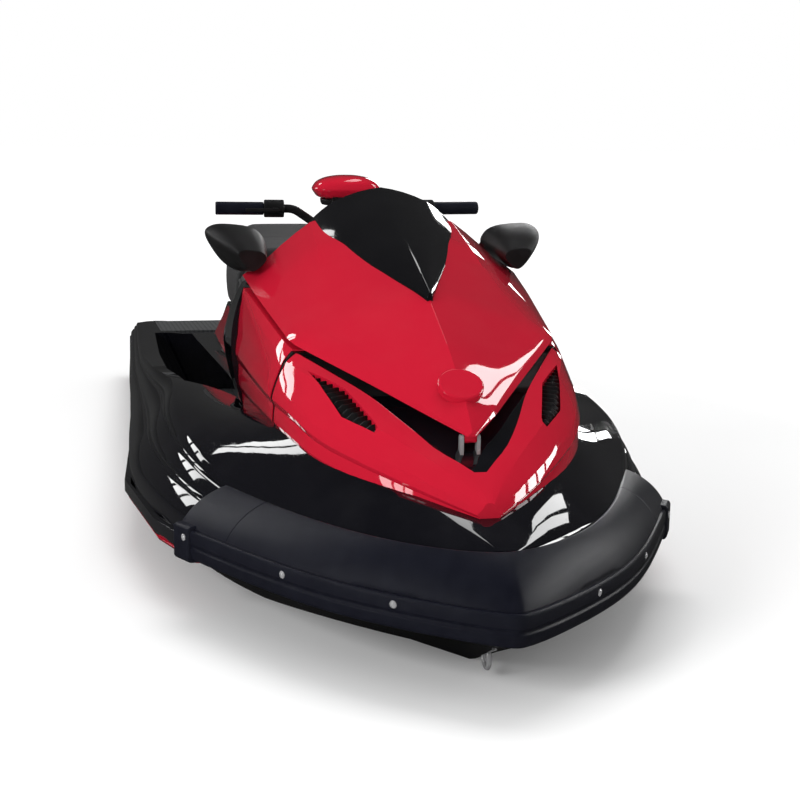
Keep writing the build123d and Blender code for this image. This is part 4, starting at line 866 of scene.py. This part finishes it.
def build_screen():
    screen = skin("screen_skin", SCREEN, screen_half, spacing=20, blur=50, sag=0.04, parts=4)
    finished(rounded(screen, 3, angle=20), HOOD_BODY, "black_satin", ["windscreen"], screen_black)
    stem_offset, stem_height = MIRROR_STEM
    for side, name in ((1, "port"), (-1, "starboard")):
        loops = []
        for station, share in smooth_path(MIRROR_STEPS, parts=6, blur=0.6):
            shrunk = [(stem_offset + (y - stem_offset) * share, stem_height + (z - stem_height) * share)
                      for y, z in MIRROR_OUTLINE]
            loops.append([at(station, side * y, z) for y, z in smooth_ring(shrunk, blur=0.4)])
        mirror = loop_skin(f"{name}_mirror", loops)
        finished(rounded(mirror, 4, angle=35), HOOD_BODY, "black_satin", ["mirrors"])
    dressed("mirror_glass", HOOD_BODY, "mirror_glass", 0)
    dressed("instrument_pod", HULL_BODY, "black_satin", 2)


def bow_outline(rows, tip):
    """Plan run of the bow from its port end round the tip to its starboard end."""
    port = [(row.station, row.rail_half) for row in rows]
    return np.array(port + [(tip, 2), (tip, -2)] + [(s, -y) for s, y in reversed(port)], dtype=float)


def bow_sections(profile, keep):
    """Loops of a moulding round the bow; profile holds (share of the way inboard, outset, height)."""
    rail, band = bow_outline(BOW_RAIL, BOW_TIP), bow_outline(BAND_EDGE, BAND_TIP)
    loops = []
    for outer, inner in zip(smooth_path(rail), smooth_path(band)):
        if keep(outer):
            inboard = (inner - outer) / np.hypot(*(inner - outer))
            loops.append([at(*(outer + (inner - outer) * share - inboard * outset), height)
                          for share, outset, height in profile])
    return loops


# Upper band: steps of its rolled face, how much of the roll is a straight lean and how much a quarter round,
# and where its hidden back ends
BAND_STEPS, BAND_LEAN, BAND_ROUND = 10, 0.55, 0.45
BAND_BACK_INNER, BAND_BACK_OUTER, BAND_BACK_TOP, BAND_BACK_LOW = 1.1, 0.2, BUMPER_TOP - 6, RAIL_TOP - 20


def band_profile():
    """Section of the bumper's upper band: a rolled face from the rail up to the deck."""
    rise = BUMPER_TOP - RAIL_TOP
    rolled = []
    for step in range(BAND_STEPS + 1):
        part = step / BAND_STEPS
        turn = pi / 2 * part
        share = BAND_LEAN * part + BAND_ROUND * (1 - cos(turn))
        lift = BAND_LEAN * part + BAND_ROUND * sin(turn)
        rolled.append((share, -BAND_INSET * (1 - part), RAIL_TOP + rise * lift))
    return rolled + [(BAND_BACK_INNER, 0, BAND_BACK_TOP), (BAND_BACK_INNER, 0, BAND_BACK_LOW),
                     (BAND_BACK_OUTER, 0, BAND_BACK_LOW)]


# Sections of the bow rail and of the caps over its ends: share of the way inboard, outset and height
RAIL_PROFILE = [(0.3, 0, 414), (0, -6, 412), (0, -1, 420), (0, 0, 436), (0, -3, 440), (0, -3, 444),
                (0, 0, 448), (0, 0, 468), (0, -4, RAIL_TOP), (0.3, 0, RAIL_TOP)]
CAP_PROFILE = [(0.2, 0, 406), (0, 0, 406), (0, CAP_PROUD, 412), (0, CAP_PROUD, 476), (0, 0, 482),
               (0.2, 0, 486)]


def merged(name, pieces):
    """One piece out of several loose ones."""
    whole = bmesh.new()
    for piece in pieces:
        whole.from_mesh(piece.data)
        bpy.data.objects.remove(piece)
    mesh = bpy.data.meshes.new(name)
    whole.to_mesh(mesh)
    whole.free()
    made = bpy.data.objects.new(name, mesh)
    bpy.context.scene.collection.objects.link(made)
    return made


# How far away a point on the other side of the craft counts, in millimetres
WRONG_SIDE = 900


def nearest_on_rail(path, station, side):
    """Index of the point of the rail's path nearest to a station, on one side."""
    def miss(k):
        return abs(path[k][0] - station) + WRONG_SIDE * (path[k][1] * side < 0)
    return min(range(1, len(path) - 1), key=miss)


def rail_bolts():
    """Domed bolts through the bow rail, each square to the rail's face."""
    path = smooth_path(bow_outline(BOW_RAIL, BOW_TIP))
    bolts = []
    for station in BOLT_STATIONS:
        for side in (1, -1):
            near = nearest_on_rail(path, station, side)
            along = path[near + 1] - path[near - 1]
            out = Vector((-along[1], along[0], 0)).normalized() * (-1 if along[0] * side < 0 else 1)
            out = out if out.y * side > 0 else -out
            proud = CAP_PROUD if station < BOW_RAIL[0].station + CAP_LENGTH else 0
            seat = Matrix.Translation(at(*path[near], BOLT_HEIGHT) + out * proud / 1000)
            turn = out.to_track_quat("Z", "Y").to_matrix().to_4x4()
            bolts.append(lathe("bolt", BOLT_PROFILE, seat @ turn, sides=24))
    return merged("rail_bolts", bolts)


def build_bow():
    middle = loop_skin("bumper_middle", bow_sections(band_profile(), lambda p: p[0] > CORNER_SPLIT))
    finished(rounded(middle, 2), HULL_BODY, "bumper_rubber", ["bow_bumper"])
    for side, name in ((1, "port"), (-1, "starboard")):
        def at_corner(p):
            return p[0] < CORNER_SPLIT + CORNER_LAP and p[1] * side > 0

        def at_cap(p):
            return p[0] < BOW_RAIL[0].station + CAP_LENGTH and p[1] * side > 0

        corner = loop_skin(f"bumper_corner_{name}", bow_sections(band_profile(), at_corner))
        finished(rounded(corner, 2), HULL_BODY, "bumper_rubber", ["bumper_corners"])
        cap = loop_skin(f"rail_cap_{name}", bow_sections(CAP_PROFILE, at_cap))
        finished(rounded(cap, 3), HULL_BODY, "bumper_rubber", ["bow_rail"])
    finished(rounded(rail_bolts(), 0), HULL_BODY, "stainless")
    rail = loop_skin("bow_rail_skin", bow_sections(RAIL_PROFILE, lambda p: True))
    finished(rounded(rail, 1.5), HULL_BODY, "bumper_rubber", ["bow_rail"])


def pad_form(name, profile, blur, sides=64):
    """Form over the bar's clamp, round in plan, from shares of its plan at shares of its height."""
    low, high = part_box("handlebar_pad")
    middle, half = (low + high) / 2, (high - low) / 2
    loops = []
    for share, rise in smooth_path(profile, parts=5, blur=blur):
        ring = []
        for turn in turns(sides):
            across, along = abs(cos(turn)) ** PAD_SQUARENESS, abs(sin(turn)) ** PAD_SQUARENESS
            ring.append(Vector((middle.x + half.x * share * along * (1 if sin(turn) > 0 else -1),
                                middle.y + half.y * share * across * (1 if cos(turn) > 0 else -1),
                                low.z + (high.z - low.z) * rise)))
        loops.append(ring)
    return loop_skin(name, loops)


def build_steering():
    cap, foot = pad_form("pad_cap", PAD_PROFILE, blur=0.35), pad_form("pad_foot", PAD_FOOT, blur=0.2)
    finished(rounded(cap, 0), BAR_BODY, "red_gloss", ["handlebar_pad"])
    finished(rounded(foot, 0), BAR_BODY, "black_satin")
    for node, slot in (("handlebar", "black_satin"), ("grips", "bumper_rubber"),
                       ("switch_pods", "black_satin"), ("throttle_lever", "black_satin")):
        dressed(node, BAR_BODY, slot, 3)


# CAD nodes that keep their shape, each with its slot and the radius of its edges in millimetres
FITTINGS = [
    ("pedestal", "black_gloss", 8),
    ("side_panels", "red_gloss", 3),
    ("footwell_mats", "mat_foam", 1),
    ("platform_mat", "mat_foam", 1),
    ("side_rails", "black_gloss", 3),
    ("side_stripes", "red_gloss", 1),
    ("sponsons", "black_satin", 5),
    ("grab_handle", "black_satin", 0),
    ("bow_eye", "stainless", 0),
    ("stern_eyes", "stainless", 0),
    ("storage_bin", "black_satin", 4),
    ("hood_hinge", "stainless", 1),
    ("step_brackets", "stainless", 1),
]
JET_DRIVE = [
    ("pump_housing", HULL_BODY, "cast_metal", 2),
    ("pump_outlet", HULL_BODY, "cast_metal", 2),
    ("ride_plate", HULL_BODY, "cast_metal", 2),
    ("intake_grate", HULL_BODY, "cast_metal", 1),
    ("engine_block", HULL_BODY, "cast_metal", 10),
    ("impeller", "impeller_set", "stainless", 1),
    ("steering_nozzle", "jet_nozzle", "cast_metal", 2),
    ("reverse_bucket", "reverse_gate", "cast_metal", 2),
]


def build_fittings():
    for node, slot, radius in FITTINGS:
        dressed(node, HULL_BODY, slot, radius)
    dressed("boarding_step", "step", "stainless", 0)


def build_jet():
    for node, body, slot, radius in JET_DRIVE:
        dressed(node, body, slot, radius)


# Camera of the photograph, in the frame of the part
CAMERA_PLACE = (4.41, -0.782, 1.090)
CAMERA_TURN, CAMERA_PITCH, CAMERA_ROLL = 12.833, 11.454, 0.966
CAMERA_LENS, SENSOR_WIDTH = 70.33, 36

# Lamps that light the craft: place and target in metres in the scene's frame, size in metres, power in watts
Lamp = namedtuple("Lamp", "name place target size power")
LAMPS = [
    Lamp("top_box", (-1.0, 0.7, 6.0), (0.3, 0, 0), (5, 4), 190),
    Lamp("starboard_box", (4.2, -4.4, 2.8), (1.0, 0, 0.4), (1.8, 1.8), 170),
    Lamp("port_box", (2.5, 5, 3), (0.5, 0, 0.4), (2, 1.5), 20),
]
# Rows of window panes that only show in the gelcoat's gloss, with the size and power of one pane
Window = namedtuple("Window", "name centre target panes size power")
WINDOWS = [
    Window("aft_window", (-2.5, -3.4, 1.9), (1.2, -0.45, 0.27), 3, (0.36, 1.3), 6),
    Window("roof_window", (-2.2, -2.2, 3.3), (1.4, -0.3, 0.35), 2, (0.3, 0.9), 4),
    Window("port_window", (-0.7, 3.4, 3.3), (1.65, 0.15, 0.3), 2, (0.34, 1.1), 5),
    Window("ridge_window", (-1.4, 0.95, 4.5), (1.45, -0.1, 0.5), 1, (0.5, 1.6), 6),
    Window("side_window", (2.4, -5.0, 1.1), (1.5, -0.2, 0.35), 3, (0.3, 0.9), 4),
    Window("stern_window", (-5.0, 2.6, 2.2), (-1.0, 0.3, 0.2), 3, (0.5, 1.4), 16),
    Window("port_aft_window", (0.8, 5.0, 1.8), (0.0, 0.5, 0.3), 4, (0.5, 1.2), 14),
    Window("low_window", (-2.9, 3.1, 1.3), (1.3, 0.43, 0.27), 2, (0.25, 0.7), 4),
]
# Distance from one pane to the next, as a share of a pane's width
PANE_PITCH = 1.25

# Floor: its reach and thickness in millimetres, its tone and how much darker reflections see it, and its
# lift: the share near the craft, and the distances in metres between which that rises to the whole
FLOOR_AFT, FLOOR_AHEAD, FLOOR_HALF, FLOOR_THICK = -20000, 22000, 20000, 10
FLOOR_TONE, FLOOR_GLOSS_DROP = 0.9, 0.86
FLOOR_NEAR_SHARE, FLOOR_NEAR, FLOOR_FAR = 0.12, 1.6, 5.0


def aim_camera():
    """Camera at the place and angle of the photograph."""
    turn, pitch, roll = radians(CAMERA_TURN), radians(CAMERA_PITCH), radians(CAMERA_ROLL)
    back = Vector((cos(turn) * cos(pitch), -sin(turn) * cos(pitch), sin(pitch)))
    side = (-back).cross(Vector((0, 0, 1))).normalized()
    top = side.cross(-back)
    right = side * cos(roll) + top * sin(roll)
    up = top * cos(roll) - side * sin(roll)
    camera = bpy.data.objects.new("camera", bpy.data.cameras.new("camera"))
    camera.data.lens, camera.data.sensor_width = CAMERA_LENS, SENSOR_WIDTH
    camera.matrix_world = Matrix((right, up, back)).transposed().to_4x4()
    camera.location = CAMERA_PLACE
    bpy.context.scene.collection.objects.link(camera)
    bpy.context.scene.camera = camera


def lamp(name, place, target, size, power, mirrored=False):
    """Area lamp aimed at a target: it either lights the craft, or where mirrored shows in its gloss only."""
    light = bpy.data.lights.new(name, "AREA")
    light.shape, light.size, light.size_y = "RECTANGLE", size[0], size[1]
    light.energy = power
    made = bpy.data.objects.new(name, light)
    made.location, made.visible_glossy, made.visible_diffuse = place, mirrored, not mirrored
    made.rotation_euler = (Vector(target) - Vector(place)).to_track_quat("-Z", "Y").to_euler()
    bpy.context.scene.collection.objects.link(made)


def floor_white(settings):
    """White floor that takes the craft's shadow and is lifted to plain white where the camera sees it."""
    made = bpy.data.materials.new("floor_white")
    made.use_nodes = True
    tree = made.node_tree
    shader = tree.nodes["Principled BSDF"]
    ray = add_node(tree, "ShaderNodeLightPath").outputs
    tone = maths(tree, "SUBTRACT", FLOOR_TONE,
                 maths(tree, "MULTIPLY", ray["Is Glossy Ray"], FLOOR_GLOSS_DROP))
    grey = add_node(tree, "ShaderNodeCombineColor", {0: tone, 1: tone, 2: tone})
    tree.links.new(grey.outputs[0], shader.inputs["Base Color"])
    shader.inputs["Roughness"].default_value = 0.95
    shader.inputs["Specular IOR Level"].default_value = 0.0
    shader.inputs["Emission Color"].default_value = (1, 1, 1, 1)
    place = add_node(tree, "ShaderNodeTexCoord").outputs["Object"]
    away = add_node(tree, "ShaderNodeVectorMath", {0: place}, operation="LENGTH").outputs["Value"]
    far = ranged(tree, away, low=FLOOR_NEAR, high=FLOOR_FAR, to_low=FLOOR_NEAR_SHARE)
    lift = maths(tree, "MULTIPLY", maths(tree, "MULTIPLY", ray["Is Camera Ray"], far), settings.floor_lift)
    tree.links.new(lift, shader.inputs["Emission Strength"])
    return made


def studio_world(settings):
    """Plain white surroundings: full white to the camera, a weaker fill for light and for reflections."""
    world = bpy.data.worlds.new("studio")
    world.use_nodes = True
    tree = world.node_tree
    ray = add_node(tree, "ShaderNodeLightPath").outputs
    held_back = maths(tree, "MULTIPLY", ray["Is Glossy Ray"], settings.sky_level - settings.gloss_level)
    fill = maths(tree, "SUBTRACT", settings.sky_level, held_back)
    level = maths(tree, "MAXIMUM", ray["Is Camera Ray"], fill)
    tree.nodes["Background"].inputs["Color"].default_value = (1, 1, 1, 1)
    tree.links.new(level, tree.nodes["Background"].inputs["Strength"])
    return world


def window(name, centre, target, panes, size, power):
    """Row of upright window panes, seen as bright patches in the gelcoat."""
    along = (Vector(target) - Vector(centre)).cross(Vector((0, 0, 1))).normalized()
    for index in range(panes):
        place = Vector(centre) + along * (index - (panes - 1) / 2) * size[0] * PANE_PITCH
        lamp(f"{name}_{index}", place, target, size, power, mirrored=True)


def build_stage(settings):
    floor = block("floor", (FLOOR_AFT, -FLOOR_HALF, DRAFT - FLOOR_THICK), (FLOOR_AHEAD, FLOOR_HALF, DRAFT))
    floor.data.materials.append(floor_white(settings))
    bpy.context.scene.view_settings.view_transform = "Standard"
    bpy.context.scene.world = studio_world(settings)
    for row in LAMPS:
        lamp(*row)
    for row in WINDOWS:
        window(*row)
    aim_camera()


class CraftSettings(bpy.types.PropertyGroup):
    edge_round: bpy.props.FloatProperty(
        name="Edge rounding", description="Radius of the moulded edges of hull and bodywork",
        default=0.003, min=0.0, subtype="DISTANCE", unit="LENGTH")
    crown: bpy.props.FloatProperty(
        name="Panel crown", description="How far the red panels bow outward, as a share of their width",
        default=0.02, min=0.0, max=0.2, subtype="FACTOR")
    panel_gap: bpy.props.FloatProperty(
        name="Panel gap", description="Width of the black gap between the cowl and the flanks",
        default=0.015, min=0.0, subtype="DISTANCE", unit="LENGTH")
    boss_radius: bpy.props.FloatProperty(
        name="Hood boss", description="Radius of the plain round boss on the hood",
        default=0.046, min=0.01, subtype="DISTANCE", unit="LENGTH")
    seat_round: bpy.props.FloatProperty(
        name="Seat rounding", description="Radius of the cushions' edges",
        default=0.022, min=0.0, subtype="DISTANCE", unit="LENGTH")
    welt_radius: bpy.props.FloatProperty(
        name="Seat welt", description="Radius of the welt along the cushions' shoulders",
        default=0.0045, min=0.001, subtype="DISTANCE", unit="LENGTH")
    red: bpy.props.FloatVectorProperty(
        name="Bodywork colour", description="Colour of the hood, cowl, side panels and stripes",
        default=(0.56, 0.010, 0.031, 1), size=4, min=0.0, max=1.0, subtype="COLOR")
    black: bpy.props.FloatVectorProperty(
        name="Hull colour", description="Colour of the hull, deck, console and pedestal",
        default=(0.003, 0.003, 0.005, 1), size=4, min=0.0, max=1.0, subtype="COLOR")
    rubber: bpy.props.FloatVectorProperty(
        name="Bumper colour", description="Colour of the bow bumper, its rail and the grips",
        default=(0.0045, 0.005, 0.011, 1), size=4, min=0.0, max=1.0, subtype="COLOR")
    vinyl: bpy.props.FloatVectorProperty(
        name="Seat colour", description="Colour of the cushions and their welts",
        default=(0.014, 0.014, 0.015, 1), size=4, min=0.0, max=1.0, subtype="COLOR")
    satin: bpy.props.FloatVectorProperty(
        name="Trim colour", description="Colour of the mirrors, grilles, sponsons and other satin trim",
        default=(0.006, 0.0055, 0.006, 1), size=4, min=0.0, max=1.0, subtype="COLOR")
    foam: bpy.props.FloatVectorProperty(
        name="Mat colour", description="Colour of the footwell and platform mats",
        default=(0.035, 0.036, 0.038, 1), size=4, min=0.0, max=1.0, subtype="COLOR")
    sky_level: bpy.props.FloatProperty(
        name="Studio fill", description="Strength of the plain fill light",
        default=0.55, min=0.0, subtype="FACTOR")
    floor_lift: bpy.props.FloatProperty(
        name="Floor lift", description="Light added to the floor for the camera only",
        default=0.55, min=0.0, subtype="FACTOR")
    gloss_level: bpy.props.FloatProperty(
        name="Reflected fill", description="Strength of the fill seen in reflections",
        default=0.035, min=0.0, subtype="FACTOR")


class CRAFT_OT_build_hull(bpy.types.Operator):
    """Builds the hull and deck skins with their cut-outs"""
    bl_idname = "craft.build_hull"
    bl_label = "Build hull and deck"
    bl_options = {"REGISTER", "UNDO"}

    def execute(self, context):
        build_hull(context.scene.craft)
        return {"FINISHED"}


class CRAFT_OT_build_bodywork(bpy.types.Operator):
    """Builds the red cowl and hood, the black panel and the console"""
    bl_idname = "craft.build_bodywork"
    bl_label = "Build bodywork"
    bl_options = {"REGISTER", "UNDO"}

    def execute(self, context):
        build_bodywork(context.scene.craft)
        return {"FINISHED"}


class CRAFT_OT_build_seats(bpy.types.Operator):
    """Builds the two cushions and their welts"""
    bl_idname = "craft.build_seats"
    bl_label = "Build seats"
    bl_options = {"REGISTER", "UNDO"}

    def execute(self, context):
        build_seats(context.scene.craft)
        return {"FINISHED"}


class CRAFT_OT_build_screen(bpy.types.Operator):
    """Builds the windscreen, mirrors and instruments"""
    bl_idname = "craft.build_screen"
    bl_label = "Build windscreen and mirrors"
    bl_options = {"REGISTER", "UNDO"}

    def execute(self, context):
        build_screen()
        return {"FINISHED"}


class CRAFT_OT_build_bow(bpy.types.Operator):
    """Builds the bow bumper, its rail, caps and bolts"""
    bl_idname = "craft.build_bow"
    bl_label = "Build bow bumper"
    bl_options = {"REGISTER", "UNDO"}

    def execute(self, context):
        build_bow()
        return {"FINISHED"}


class CRAFT_OT_build_steering(bpy.types.Operator):
    """Builds the handlebar and what it carries"""
    bl_idname = "craft.build_steering"
    bl_label = "Build steering"
    bl_options = {"REGISTER", "UNDO"}

    def execute(self, context):
        build_steering()
        return {"FINISHED"}


class CRAFT_OT_build_fittings(bpy.types.Operator):
    """Builds mats, rails, handles, eyes and the boarding step"""
    bl_idname = "craft.build_fittings"
    bl_label = "Build fittings"
    bl_options = {"REGISTER", "UNDO"}

    def execute(self, context):
        build_fittings()
        return {"FINISHED"}


class CRAFT_OT_build_jet(bpy.types.Operator):
    """Builds the pump, nozzle, bucket and impeller"""
    bl_idname = "craft.build_jet"
    bl_label = "Build jet drive"
    bl_options = {"REGISTER", "UNDO"}

    def execute(self, context):
        build_jet()
        return {"FINISHED"}


class CRAFT_OT_build_stage(bpy.types.Operator):
    """Builds the floor, the light and the camera"""
    bl_idname = "craft.build_stage"
    bl_label = "Build studio"
    bl_options = {"REGISTER", "UNDO"}

    def execute(self, context):
        build_stage(context.scene.craft)
        return {"FINISHED"}


OPERATORS = (CRAFT_OT_build_hull, CRAFT_OT_build_bodywork, CRAFT_OT_build_seats, CRAFT_OT_build_screen,
             CRAFT_OT_build_bow, CRAFT_OT_build_steering, CRAFT_OT_build_fittings, CRAFT_OT_build_jet,
             CRAFT_OT_build_stage)


class CRAFT_PT_panel(bpy.types.Panel):
    """Sidebar panel with the settings and one button for each group of pieces"""
    bl_label = "Watercraft"
    bl_idname = "CRAFT_PT_panel"
    bl_space_type = "VIEW_3D"
    bl_region_type = "UI"
    bl_category = "Watercraft"

    def draw(self, context):
        for name in CraftSettings.__annotations__:
            self.layout.prop(context.scene.craft, name)
        for operator in OPERATORS:
            self.layout.operator(operator.bl_idname)


def register():
    for made in (CraftSettings, *OPERATORS, CRAFT_PT_panel):
        bpy.utils.register_class(made)
    bpy.types.Scene.craft = bpy.props.PointerProperty(type=CraftSettings)


def unregister():
    del bpy.types.Scene.craft
    for made in (CRAFT_PT_panel, *reversed(OPERATORS), CraftSettings):
        bpy.utils.unregister_class(made)


def main():
    register()
    bpy.ops.craft.build_hull()
    bpy.ops.craft.build_bodywork()
    bpy.ops.craft.build_seats()
    bpy.ops.craft.build_screen()
    bpy.ops.craft.build_bow()
    bpy.ops.craft.build_steering()
    bpy.ops.craft.build_fittings()
    bpy.ops.craft.build_jet()
    bpy.ops.craft.build_stage()


if __name__ == "__main__":
    main()
